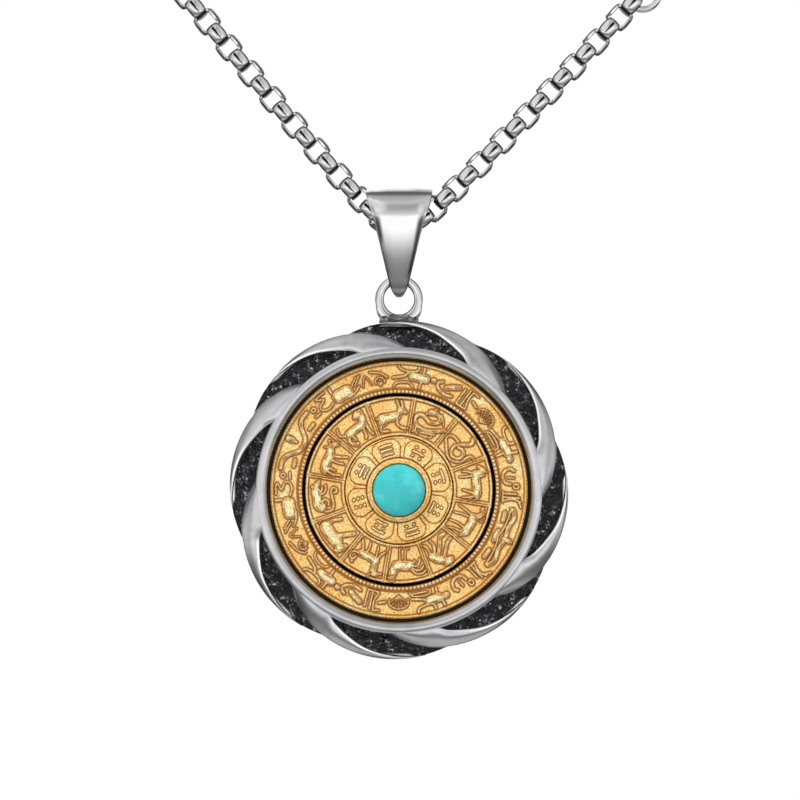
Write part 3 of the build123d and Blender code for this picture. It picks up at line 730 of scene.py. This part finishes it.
# One half of the outer ring's band: degrees from the band's axis of symmetry, then outwards. The
# other half is its mirror image.
RING_MID, RING_AXIS, RING_BOLD = 13.3, 115.1, 1.3
RING_HALF = [
    (.22, [(0, .3), (0, 1)]), (.1, [(0, 1.2), (0, 1.35)]), (.22, [(2, .4), (6, .3), (9.5, .55), (12, .65),
    (15, .35)]), (.1, [(0, -.45), (4, -.2), (9, -.05), (15.5, .1)]), (.2, [(8.5, -.55), (13, -.55)]),
    (.2, [(0, -.8), (3, -.65)]), (.11, [(19.2, 1.1), (20.5, .2), (19.3, -1)]), (.11, [(21.2, .9),
    (21.2, -.9)]), (.11, [(23, .5), (23.2, -1)]), (.11, [(17, 1.2), (19, .9)]), (.11, [(18.5, -1.05),
    (24, -1.05)]), (.1, [(25.7, .5), (26.2, .77), (27.4, .77), (27.9, .5), (27.4, .23), (26.2, .23),
    (25.7, .5)]), (.15, [(28, -.2), (29, -.75), (32, -1), (35, -.7), (35.8, 0), (34.5, .4)]),
    (.1, [(31, .3), (31.5, -.4)]), (.3, [(40.5, .25), (41, .25)]), (.12, [(43, 1.4), (43.2, .6)]),
    (.42, [(44, .2), (47, .15), (49.5, .2)]), (.11, [(47.3, 1.45), (47.8, .8), (51, .6), (55, .85),
    (55.8, 1.4)]), (.13, [(50, .3), (53, -.15), (58, -.35)]), (.12, [(44.5, -.3), (44.2, -1.2)]),
    (.1, [(47.5, -1.1), (49, -.55), (57, -.65), (59, -1.1)]), (.1, [(50, -.95), (57.5, -.95)]),
    (.12, [(72, 0), (75, .2)]), (.11, [(77.5, 1.1), (77.6, 0), (76, -.95)]), (.11, [(79, 1.1),
    (79.2, -.9)]), (.11, [(81.5, .9), (81.8, -1)]), (.11, [(74.5, 1.1), (77, 1.15)]), (.11, [(76, -1.05),
    (82, -1.1)]), (.25, [(84.5, .65), (87.5, .3), (90, -.05)]), (.16, [(86, -.7), (89.7, -.85), (93.8, -.5),
    (95, .1), (93, .45)]), (.25, [(97.2, .2), (97.6, .2)]), (.12, [(103, 1.4), (103, .6)]),
    (.42, [(101.5, .1), (104.5, .1), (108, .15)]), (.11, [(105.5, 1.45), (106, .9), (110, .7), (114, .95),
    (115, 1.4)]), (.13, [(110.5, .5), (113, .1), (118, -.05)]), (.12, [(103.5, -.4), (104, -1.2)]),
    (.1, [(107.5, -1.05), (110, -.6), (116, -.65), (118, -1.05)]), (.1, [(121, 0), (124, .6), (129, .95)]),
    (.07, [(129.5, -.5), (132, .6), (134.3, -.5)]), (.6, [(143, -.2), (148, -.2)]), (.09, [(134.5, .95),
    (138, 0)]), (.09, [(136, .9), (139.5, .1)]), (.1, [(136, -.2), (139, -.7), (143, -.95)]),
    (.13, [(150, 1.3), (150, .6)]), (.1, [(153, 1.2), (158, 1.1), (155, .5), (158.5, .2), (159, -.3),
    (156, -.7), (152, -.5)]), (.1, [(160.9, .45), (162, .7), (163.1, .45), (162, .2), (160.9, .45)]),
    (.1, [(161, -.4), (164, -.3)]), (.19, [(165.3, .85), (169, .85), (172, .45), (174, -.15), (176.5, -.75),
    (180, -.95)]), (.17, [(167.5, -.6), (171, -.6)]), (.26, [(180, 1.1), (180, .5)]), (.12, [(180, .3),
    (180, 0)]),
]


def fan(centre, half_wide, half_high, rays):
    """Strokes of a ribbed shell standing on the band, in degrees and millimetres."""
    a, v = centre
    foot = (a, v - half_high)

    def lip(opening, steps):
        return [(a + half_wide * math.sin(t), v + half_high * math.cos(t))
                for t in np.linspace(-opening, opening, steps)]

    return [(.06, [foot, end]) for end in lip(1.35, rays)] + [(.08, lip(1.9, 9))]


RING_HALF += fan((65, -.1), 5, .8, 7) + fan((125, -.35), 2.4, .5, 5)


def stroke_relief(u, v, strokes):
    """Height of round-topped strokes over a flat ground, and the distance outside the nearest of them."""
    height, clear = np.zeros_like(u), np.full_like(u, FAR)
    for half, points in strokes:
        line = smooth_path(points, 4)
        reach = half + 0.35
        near = ((u > line[:, 0].min() - reach) & (u < line[:, 0].max() + reach)
                & (v > line[:, 1].min() - reach) & (v < line[:, 1].max() + reach))
        if not near.any():
            continue
        pu, pv, best = u[near], v[near], np.full(near.sum(), FAR)
        for (ax, ay), (bx, by) in zip(line[:-1], line[1:]):
            dx, dy = bx - ax, by - ay
            t = np.clip(((pu - ax) * dx + (pv - ay) * dy) / max(dx * dx + dy * dy, 1e-9), 0, 1)
            best = np.minimum(best, np.hypot(pu - ax - t * dx, pv - ay - t * dy))
        crown = np.sqrt(np.clip(1 - (best / half) ** 2, 0, 1)) * LIFT * min(0.5 + 1.5 * half, 1.1)
        height[near] = (height[near] ** 4 + crown ** 4) ** 0.25
        clear[near] = np.minimum(clear[near], best - half)
    return height, clear


def ridge(x, half):
    """A rounded ridge of height 1 across a distance."""
    return np.sqrt(np.clip(1 - (x / half) ** 2, 0, 1))


def relief_mesh(name, radii, degrees, heights, groove, back):
    """A closed ring from a polar grid of front heights and a flat back, painted with the brown of its
    grooves, partly antique and partly painted shade, and with a painted highlight by how far each point
    stands above the ground."""
    rows = heights.shape[1]
    front = clock_points(radii, degrees, heights)
    inner = clock_points(radii[:, :1], degrees[:, :1], np.full_like(heights[:, :1], back))
    outer = clock_points(radii[:, -1:], degrees[:, -1:], np.full_like(heights[:, :1], back))
    points = np.concatenate([inner, front, outer], axis=1)
    obj = new_mesh(name, points, grid_faces(len(points), rows + 2, True, True), 75)
    ground = np.median(heights)
    # Painted highlight: the higher a point stands above the ground, the paler its gold.
    raised_highlight = np.clip((heights - ground) / (heights.max() - ground) * 1.3 - 0.1, 0, 1)
    for layer, shade in (("groove", groove), ("raised_highlight", raised_highlight)):
        paint(obj, layer, np.concatenate([shade[:, :1], shade, shade[:, -1:]], axis=1).ravel())
    return obj


def outline_shade(clear):
    """How brown the plating is near a figure's foot, partly antique brown and partly painted shade, from the
    distance outside it.
    """
    return np.clip(1 - np.abs(clear - 0.04) / 0.13, 0, 1) ** 0.7


def inner_lines(clear, degrees, radii):
    """Broken chased lines a little way inside the wider figures, for their haunches, ribs and folds."""
    broken = np.clip(0.5 + 0.8 * np.cos(np.radians(degrees) * 41) * np.cos(radii * 4.3), 0, 1)
    return np.exp(-((clear + 0.22) / 0.09) ** 2) * broken


def figure_grooves(clear, inside, degrees, radii, more):
    """All the brown of a band of figures, partly antique and partly painted shade: round them, along its
    frame, chased in them, and more.
    """
    shades = [outline_shade(clear), outline_shade(inside), inner_lines(clear, degrees, radii), more]
    return np.max(shades, axis=0)


def polar_grid(steps, inner, outer, rows):
    """Degrees and radii of a polar grid, indexed by angle and then radius."""
    degrees = np.linspace(0, 360, steps, endpoint=False)
    return np.meshgrid(degrees, np.linspace(inner, outer, rows), indexing="ij")


DIVIDER, DIVIDER_HALF = 9.5, 0.26             # the first divider's angle, and half the width of a divider
ZODIAC_RIMS, RIM_HALF = (6.6, 10.86), 0.17    # radii of the rims, and half a rim's width
FRAME_H = 0.2


def make_zodiac_disc():
    """The middle wheel: twelve framed panels, each with its animal."""
    degrees, radii = polar_grid(1060, 6.42, 11.03, 88)
    heights, clear = np.zeros_like(radii), np.full_like(radii, FAR)
    for k, strokes in enumerate(ZODIAC.values()):
        turn = (degrees - ZODIAC_FIRST - 30 * k + 180) % 360 - 180
        here = np.abs(turn) < 15.5
        u, v = np.radians(turn[here]) * ZODIAC_MID, radii[here] - ZODIAC_MID
        bold = [(half * ZODIAC_BOLD, line) for half, line in strokes]
        heights[here], clear[here] = stroke_relief(u, v, bold)
    side = np.radians((degrees - DIVIDER + 15) % 30 - 15) * radii      # distance from the nearest divider
    beads = 0.8 + 0.2 * np.cos(2 * math.pi * radii / 0.24)
    wall = ridge(np.abs(side) - DIVIDER_HALF / 2, 0.12) * beads * FRAME_H
    low_rim, high_rim = ZODIAC_RIMS
    rims = np.maximum(ridge(radii - high_rim, RIM_HALF), ridge(radii - low_rim, RIM_HALF)) * FRAME_H
    heights = np.maximum(heights, np.maximum(wall, rims))
    in_frame = np.minimum(high_rim - RIM_HALF - radii, radii - low_rim - RIM_HALF)
    # Brown in the seam between each divider's two lines, partly antique and partly painted shade.
    seam = 0.8 * np.exp(-(side / 0.04) ** 2)
    in_panel = np.minimum(np.abs(side) - DIVIDER_HALF, in_frame)
    groove = figure_grooves(clear, in_panel, degrees, radii, seam)
    obj = relief_mesh("zodiac_relief", radii, degrees, 1.0 + heights - CHASED * groove, groove, 0.0)
    return finish(obj, "zodiac_wheel", "gold", "zodiac_disc")


def make_outer_ring():
    """The outer wheel's mirrored band of creatures, pillars and shells."""
    degrees, radii = polar_grid(1400, 11.42, 15.18, 66)
    scale = math.radians(1) * RING_MID                     # millimetres to a degree at the middle radius
    away = np.abs((degrees - RING_AXIS + 180) % 360 - 180)
    strokes = [(half * RING_BOLD, [(a * scale, v) for a, v in points]) for half, points in RING_HALF]
    heights, clear = stroke_relief(away * scale, radii - RING_MID, strokes)
    band_start, band_end = 11.99, 14.78                    # the figures' band, between beads and rope
    lips = np.maximum(ridge(radii - 15.08, 0.12) * 0.12, ridge(radii - band_start + 0.04, 0.06) * 0.08)
    heights = np.maximum(heights, lips)
    # Painted shade on the ground between the beads and beside the rope.
    borders = 0.85 * (radii < band_start - 0.09) + 0.6 * (radii > band_end - 0.04)
    in_band = np.minimum(radii - band_start, band_end - radii)
    groove = figure_grooves(clear, in_band, degrees, radii, borders)
    obj = relief_mesh("outer_ring_relief", radii, degrees, 1.28 + heights - CHASED * groove, groove, 0.05)
    return finish(obj, "outer_wheel", "gold", "outer_ring")


def make_beads(name, body, r, count, size, h):
    """A ring of small half-round beads, each a closed dome."""
    points, faces, sides, levels = [], [], 10, (0, 25, 50, 72)
    for k in range(count):
        centre, start = 360 * k / count, len(points)
        for level in levels:
            for j in range(sides):
                t, out = 2 * math.pi * j / sides, size * math.cos(math.radians(level))
                up = size * math.sin(math.radians(level))
                sideways = math.degrees(out * math.sin(t) / r)
                points.append(clock_point(r + out * math.cos(t), centre + sideways, h + up))
        faces += grid_faces(len(levels), sides, False, True, start)
        points.append(clock_point(r, centre, h + size))
        top = start + (len(levels) - 1) * sides
        faces += [[top + j, top + (j + 1) % sides, len(points) - 1] for j in range(sides)]
        faces.append([start + j for j in range(sides)])
    return finish(new_mesh(name, points, faces, 80), body, "gold", look="bead_gold")


def make_rope(name, body, r, half, twists, h):
    """A twisted rope border, closed round the ring."""
    steps, round_steps = twists * 6, 9
    d = np.linspace(0, 2 * math.pi, steps, endpoint=False)[:, None]
    t = np.linspace(0, 2 * math.pi, round_steps, endpoint=False)[None, :]
    swell = half * (0.8 + 0.2 * np.cos(twists * d + 2 * t))
    points = clock_points(r + swell * np.cos(t), np.degrees(d) + 0 * t, h + swell * np.sin(t))
    return finish(new_mesh(name, points, grid_faces(steps, round_steps, True, True), 80), body, "gold")


# Trigrams clockwise from the first petal: outer, middle and inner bar, 1 where whole.
PETAL_FIRST, PETAL_R, PETAL_ARCH = -17.5, 6.1, 0.95
TRIGRAMS = ["111", "010", "100", "001", "110", "101", "000", "011"]
BAR_RADII, BAR_HALF = (5.42, 4.9, 4.38), 0.17


def thin_line(distance):
    """How dark a finely chased line is at a distance from it, partly antique brown and partly painted shade.
    """
    return np.exp(-(distance / 0.055) ** 2)


def make_trigram_disc():
    """The inner wheel: eight outlined petals, each with a sign of three whole or broken bars."""
    degrees, radii = polar_grid(900, 3.6, 6.3, 64)
    turn = (degrees - PETAL_FIRST + 22.5) % 45 - 22.5
    sideways = np.radians(turn) * radii
    top = PETAL_R - PETAL_ARCH                    # where a petal's straight sides give way to its arch
    half_wide = np.radians(19.6) * np.minimum(radii, top)
    past_side = np.maximum(np.abs(sideways) - half_wide + PETAL_ARCH, 0)
    inside = PETAL_ARCH - np.hypot(past_side, np.maximum(radii - top, 0))     # from a petal's outline
    bars = np.full_like(radii, FAR)
    index = np.round((degrees - PETAL_FIRST) / 45).astype(int) % len(TRIGRAMS)
    for k, sign in enumerate(TRIGRAMS):
        for bar_r, whole in zip(BAR_RADII, sign):
            half_long = 0.84 - 0.1 * (BAR_RADII[0] - bar_r)
            spans = [(0, half_long)] if whole == "1" else [(-0.46, 0.2), (0.46, 0.2)]
            for centre, half in spans:
                across = np.maximum(np.abs(sideways - centre) - half + 0.15, 0)
                d = np.hypot(across, radii - bar_r)
                bars = np.where(index == k, np.minimum(bars, d), bars)
    heights = 0.05 + 0.1 * np.clip(inside / 0.12, 0, 1) + ridge(bars, BAR_HALF) * 0.12
    heights += ridge(radii - 6.2, 0.1) * 0.07
    # Painted shade on the disc round the stone cup's edge.
    round_stone = np.clip((3.95 - radii) / 0.2, 0, 1)
    groove = np.max([thin_line(inside), thin_line(bars - BAR_HALF), round_stone], axis=0)
    obj = relief_mesh("trigram_relief", radii, degrees, 1.26 + heights - 0.08 * groove, groove, 0.85)
    return finish(obj, "trigram_wheel", "gold", "trigram_disc")


def make_stone():
    """The domed turquoise in its gold cup with a rolled lip."""
    stone_r, girdle_h, dome_h = 3.04, 2.2, 0.9
    dome = [(0.02, 2.02), (stone_r, 2.02), (stone_r, girdle_h)]
    dome += [(stone_r * math.cos(t), girdle_h + dome_h * math.sin(t))
             for t in np.linspace(0.05, math.pi / 2 - 0.01, 18)]
    finish(lathe("turquoise_dome", dome, 160, 60), "pendant", "turquoise", "turquoise_cabochon")
    cup = [(2.0, 1.66), (3.74, 1.66), (3.74, 1.8), (3.68, 1.86), (3.5, 1.87), (3.46, 1.95)]
    cup += arc((3.3, 2.08), 0.17, -10, 170, 10) + [(3.1, 1.98), (2.0, 1.95)]
    obj = lathe("stone_cup_rolled", cup, 200, 60)
    away, _, _ = clock_places(obj)
    # Painted shade inside the rolled lip, next to the stone.
    paint(obj, "groove", np.clip((3.2 - away) / 0.08, 0, 1))
    finish(obj, "pendant", "gold", "stone_cup")


make_zodiac_disc()
make_outer_ring()
make_beads("outer_ring_beads", "outer_wheel", 11.62, 158, 0.2, 1.34)
make_rope("outer_ring_rope", "outer_wheel", 14.95, 0.15, 245, 1.38)
make_trigram_disc()
make_stone()


# --- chain ---
# The route's points across and up, as in the CAD, then a link's size and the step between links.
ROUTE = [(-26.1, 59.4), (-3.45, 32.1), (0.15, 31.15), (3.85, 31.9), (29.2, 59.2)]
LINK_LENGTH, LINK_WIDTH, LINK_DEPTH, LINK_T = 2.65, 3.0, 1.9, 0.3
PITCH, BAIL_PITCH, BEND_HALF = 2.0, 1.74, 6.2


def route_line():
    """The chain's centre line, read from a smooth spline along its route, in millimetres."""
    curve = bpy.data.curves.new("chain_route", "CURVE")
    curve.dimensions = "3D"
    spline = curve.splines.new("NURBS")
    spline.points.add(len(ROUTE) - 1)
    for point, (x, z) in zip(spline.points, ROUTE):
        point.co = (x * MM, MID_Y * MM, z * MM, 1)
    spline.order_u = 3
    spline.use_endpoint_u = True
    spline.resolution_u = 24
    holder = bpy.data.objects.new("chain_route", curve)
    mesh = bpy.data.meshes.new_from_object(holder)
    line = np.array([v.co for v in mesh.vertices]) / MM
    bpy.data.objects.remove(holder)
    bpy.data.curves.remove(curve)
    bpy.data.meshes.remove(mesh)
    return line


def along_line(line, at):
    """The point and the direction at a distance along a line."""
    steps = np.linalg.norm(np.diff(line, axis=0), axis=1)
    ends = np.concatenate([[0], np.cumsum(steps)])
    k = int(np.clip(np.searchsorted(ends, at) - 1, 0, len(steps) - 1))
    direction = (line[k + 1] - line[k]) / steps[k]
    return line[k] + direction * (at - ends[k]), direction


def link_outline():
    """Points round a link's rounded rectangle with their outward directions, seen along its hole."""
    turns = np.linspace(0, 2 * math.pi, 60, endpoint=False)
    out = np.array([(squared(math.cos(t), 0.55), squared(math.sin(t), 0.55)) for t in turns])
    out *= LINK_LENGTH / 2, LINK_WIDTH / 2
    along = np.roll(out, -1, axis=0) - np.roll(out, 1, axis=0)
    normal = np.stack([along[:, 1], -along[:, 0]], axis=1)
    return out, normal / np.linalg.norm(normal, axis=1)[:, None]


def link_mesh():
    """One box link along X with its hole along Y: a crowned band with a tapering seam in one wall, dark with
    painted shade.
    """
    outline, normals = link_outline()
    half_across = [0.07, 0.16, 0.3, 0.5, 0.75, 0.93, 1]
    across = [-u for u in half_across[::-1]] + [0] + half_across
    inside = np.array([1, 0.5, 0, -0.5, -1]) * 0.96
    seam_start, seam_end, seam_deep = -0.95, 0.6, 0.2
    points, painted_shade = [], []
    for (x, z), (nx, nz) in zip(outline, normals):
        half_deep = LINK_DEPTH / 2 - 0.2 * (2 * x / LINK_LENGTH) ** 2
        crown = 0.08 + 0.24 * abs(nz)
        # Painted shade where the next links nest into this one.
        nest = 0.9 * ease((x - 0.85) / 0.25) + 0.6 * ease((-1.15 - x) / 0.12)      # by the next links
        for u in across:
            inset = crown * abs(u) ** 2.2 + 0.05 * (abs(u) > 0.97)
            wide = 0.24 * (1 - (x - seam_start) / 1.6)
            cut = max(1 - abs(u) / wide, 0) if z > 1.3 and seam_start < x < seam_end else 0
            inset += seam_deep * cut
            points.append((x - nx * inset, u * half_deep, z - nz * inset))
            # Painted shade: black in the seam, a dark line along each side of the crown, and shade where the
            # links nest.
            painted_shade.append(min(1.6 * cut, 1) if cut else max(0.75 * (abs(u) == 0.93), nest * (abs(u) < 0.9)))
        for u in inside:
            inset = crown * abs(u) ** 2.2 + LINK_T
            points.append((x - nx * inset, u * half_deep, z - nz * inset))
            # Painted shade inside the link.
            painted_shade.append(0.9 * (abs(u) < 0.9))
    return points, grid_faces(len(outline), len(across) + len(inside), True, True), painted_shade


# The clasp's eye, and the way from it to the hook, across and up.
CLASP_AT, CLASP_ALONG = (-27.587, 61.193), (-0.6386, 0.7697)
CLASP_EYE_R, CLASP_EYE_HOLE_R = 1.3, 0.7


def clasp_bar(points, faces, stations, deep, side=0.0):
    """Adds one rounded bar of the clasp, through stations of (along, across, half width)."""
    line = smooth_path(stations, 6)
    start, around = len(points), 20
    run = np.gradient(line[:, :2], axis=0)
    run /= np.linalg.norm(run, axis=1)[:, None]
    for (along, across, half), (dx, dz) in zip(line, run):
        for j in range(around):
            a = 2 * math.pi * j / around
            out = half * squared(math.cos(a), 0.6)
            y = side + deep * squared(math.sin(a), 0.6)
            points.append(clasp_point(along - dz * out, across + dx * out, y))
    faces += tube_faces(len(line), around, start)


def clasp_point(along, across, y):
    """A point of the clasp, from its eye: outwards along the chain, across it, and to the back."""
    (x, z), (c, s) = CLASP_AT, CLASP_ALONG
    return (x + along * c - across * s, MID_Y + y, z + along * s + across * c)


def make_clasp():
    """The lobster clasp: its hook with an eye and two cheeks, and its sprung gate with a thumb tab."""
    points, faces = [], []
    clasp_bar(points, faces, [(8.2, 2.3, 0.3), (8.75, 1.85, 0.5), (9.4, 1.0, 0.62), (9.6, 0.0, 0.66),
                              (9.3, -1.25, 0.66), (8.4, -2.1, 0.66), (7.2, -2.4, 0.66), (6.0, -2.1, 0.66),
                              (4.9, -1.5, 0.8), (3.9, -0.95, 1.1), (2.9, -0.45, 1.2), (1.9, -0.1, 0.95),
                              (1.15, 0.0, 0.55)], 1.2)
    for side in (-1.03, 1.03):
        cheek = [(2.5, 0.2, 0.8), (3.3, 0.9, 0.85), (3.9, 1.5, 0.6), (4.1, 1.75, 0.3)]
        clasp_bar(points, faces, cheek, 0.22, side)
    start, steps, around = len(points), 40, 14
    middle, half = (CLASP_EYE_R + CLASP_EYE_HOLE_R) / 2, (CLASP_EYE_R - CLASP_EYE_HOLE_R) / 2
    for i in range(steps):
        t = 2 * math.pi * i / steps
        for j in range(around):
            a = 2 * math.pi * j / around
            r = middle + half * math.cos(a)
            points.append(clasp_point(0.1 + r * math.cos(t), r * math.sin(t), 0.7 * math.sin(a)))
    faces += grid_faces(steps, around, True, True, start)
    hook = finish(new_mesh("clasp_hook", points, faces, 50), "chain", "polished_steel", "clasp_body")
    points, faces = [], []
    clasp_bar(points, faces, [(4.35, 1.5, 0.5), (5.0, 1.8, 0.52), (6.0, 2.1, 0.44), (7.0, 2.32, 0.36),
                              (7.6, 2.42, 0.24)], 0.66)
    clasp_bar(points, faces, [(5.05, 1.9, 0.45), (5.0, 2.9, 0.4), (5.0, 3.55, 0.36), (5.0, 3.8, 0.2)], 0.5)
    clasp_bar(points, faces, [(3.5, 1.35, 0.66), (4.1, 1.5, 0.66), (4.7, 1.7, 0.55)], 0.3, -0.37)
    finish(new_mesh("clasp_gate_arm", points, faces, 50), "clasp_gate", "polished_steel", "clasp_lever")
    return hook


def make_chain():
    """The box chain: its links, each turned a quarter from the last, along the route."""
    line = route_line()
    length = float(np.linalg.norm(np.diff(line, axis=0), axis=1).sum())
    places, at = [], LINK_LENGTH / 2
    while at < length - LINK_LENGTH / 2:
        places.append(at)
        x = along_line(line, at)[0][0]
        at += BAIL_PITCH if abs(x) < BEND_HALF else PITCH
    link_points, link_faces, link_painted_shade = link_mesh()
    points, faces = [], []
    for i, at in enumerate(places):
        centre, along = along_line(line, at)
        place = Matrix.Translation(centre) @ Matrix.Rotation(-math.atan2(along[2], along[0]), 4, "Y")
        place = place @ Matrix.Rotation(math.pi / 2 * (i % 2), 4, "X")
        if centre[0] > 0:
            place = place @ Matrix.Rotation(math.pi, 4, "Z")        # the seams mirror those on the left
        start = len(points)
        points += [tuple(place @ Vector(p)) for p in link_points]
        faces += [[v + start for v in f] for f in link_faces]
    obj = new_mesh("box_chain", points, faces, 32)
    # The links' painted shade, repeated for each link.
    paint(obj, "painted_shade", link_painted_shade * len(places))
    finish(obj, "chain", "polished_steel", "chain_links_left", "chain_links_bail", "chain_links_right")
    fittings = [make_clasp()] + [NODES[n] for n in ("clasp_ring", "clasp_spring", "clasp_pin", "end_ring")]


make_chain()


# --- camera, light and floor ---
VIEW_WIDTH, VIEW_CENTRE = 94.1, (0.12, 10.6)     # in millimetres, in the plane that the camera aims at
AIM_Y = MID_Y - 1.5


def make_camera():
    """A long lens square to the front of the wheels."""
    data = bpy.data.cameras.new("camera")
    data.lens, data.sensor_width = 120, 36
    camera = bpy.data.objects.new("camera", data)
    distance = VIEW_WIDTH * data.lens / data.sensor_width
    camera.location = (VIEW_CENTRE[0] * MM, (AIM_Y - distance) * MM, VIEW_CENTRE[1] * MM)
    camera.rotation_euler = (math.pi / 2, 0, 0)
    data.clip_start, data.clip_end = 0.01, 10
    bpy.context.scene.collection.objects.link(camera)
    bpy.context.scene.camera = camera


def make_light(name, place, size, power):
    """A soft box at a place in millimetres, aimed at the wheels; power in watts."""
    data = bpy.data.lights.new(name, "AREA")
    data.shape = "RECTANGLE"
    data.size, data.size_y = size[0] * MM, size[1] * MM
    data.energy = power
    light = bpy.data.objects.new(name, data)
    light.location = Vector(place) * MM
    light.rotation_euler = (-light.location).to_track_quat("-Z", "Y").to_euler()
    light.visible_glossy = False
    bpy.context.scene.collection.objects.link(light)


def make_world():
    """White behind the object, and for it to reflect a studio of soft boxes and dark flags: bands of
    grey by direction along each axis, and soft spots of (direction, tightness, grey)."""
    world = bpy.data.worlds.new("studio")
    bpy.context.scene.world = world
    world.use_nodes = True
    tree = world.node_tree
    tree.nodes.clear()
    place = add(tree, "ShaderNodeTexCoord")
    way = add(tree, "ShaderNodeSeparateXYZ", {0: place.outputs["Generated"]})
    bands = {
        "Z": [(-1, .6), (-.8, .7), (-.69, .36), (-.62, .22), (-.52, .25), (-.43, .34), (-.32, .6),
              (-.22, 1), (-.17, 1.35), (-.1, 1.3), (0, .95), (.15, .72), (.3, .6), (.5, .42), (.68, .42),
              (.82, .7), (1, .5)],
        "X": [(-1, .35), (-.92, .8), (-.82, .5), (-.62, .8), (-.4, .95), (0, .92), (.4, 1), (.62, .85),
              (.8, .5), (.92, .9), (1, .4)],
        "Y": [(-1, 1), (-.1, .9), (.08, .45), (.25, .2), (.45, .25), (.65, .9), (1, 1.15)],
    }
    spots = [((-.5, -.68, .54), 40, .4), ((.62, -.66, .42), 60, .3), ((-.4, .75, .5), 30, .7)]
    level = None
    for axis, stops in bands.items():
        share = add(tree, "ShaderNodeMapRange", {"Value": way.outputs[axis], "From Min": -1.0})
        band = ramp(tree, share.outputs["Result"], [((at + 1) / 2, (grey,) * 3) for at, grey in stops])
        if level is None:
            level = band
        else:
            mixed = add(tree, "ShaderNodeVectorMath", {0: level, 1: band}, operation="MULTIPLY")
            level = mixed.outputs["Vector"]
    for aim, tight, grey in spots:
        toward = add(tree, "ShaderNodeVectorMath", {0: place.outputs["Generated"], 1: aim},
                     operation="DOT_PRODUCT").outputs["Value"]
        spot = add(tree, "ShaderNodeMapRange", {"Value": toward, "From Min": 1 - 6 / tight,
                                                "From Max": 1 - 1 / tight, "To Max": grey},
                   interpolation_type="SMOOTHSTEP").outputs["Result"]
        level = add(tree, "ShaderNodeVectorMath", {0: level, 1: spot}, operation="ADD").outputs["Vector"]
    lit = add(tree, "ShaderNodeBackground", {"Color": level, "Strength": 1.3})
    white = add(tree, "ShaderNodeBackground", {"Color": (1, 1, 1, 1), "Strength": 1.0})
    seen = add(tree, "ShaderNodeLightPath").outputs["Is Camera Ray"]
    mixed = add(tree, "ShaderNodeMixShader", {0: seen, 1: lit.outputs[0], 2: white.outputs[0]})
    out = add(tree, "ShaderNodeOutputWorld")
    tree.links.new(mixed.outputs[0], out.inputs["Surface"])


FLOOR_SIZE, FLOOR_Z = 3000, -45


def make_floor():
    """A plain pale floor below the view."""
    bpy.ops.mesh.primitive_plane_add(size=FLOOR_SIZE * MM, location=(0, 0, FLOOR_Z * MM))
    floor = bpy.context.object
    floor.name = "floor"
    material, tree, shader = nodes_of("floor_white", (0.3, 0.3, 0.3), 0.0, 0.8)
    glow = add(tree, "ShaderNodeEmission", {"Color": (1, 1, 1, 1), "Strength": 1.0})
    seen = add(tree, "ShaderNodeLightPath").outputs["Is Camera Ray"]
    mixed = add(tree, "ShaderNodeMixShader", {0: seen, 1: shader.outputs[0], 2: glow.outputs[0]})
    tree.links.new(mixed.outputs[0], tree.nodes["Material Output"].inputs["Surface"])
    floor.data.materials.append(material)
    floor.visible_glossy = False
    floor.visible_diffuse = False


make_camera()
make_world()
make_floor()
make_light("key", (-240, -200, 260), (90, 90), 1.0)
make_light("fill", (260, -200, 80), (90, 200), 0.2)
make_light("top", (0, -60, 300), (220, 120), 0.2)
make_light("back", (150, 260, 160), (200, 200), 0.4)
bpy.context.scene.view_settings.view_transform = "Standard"
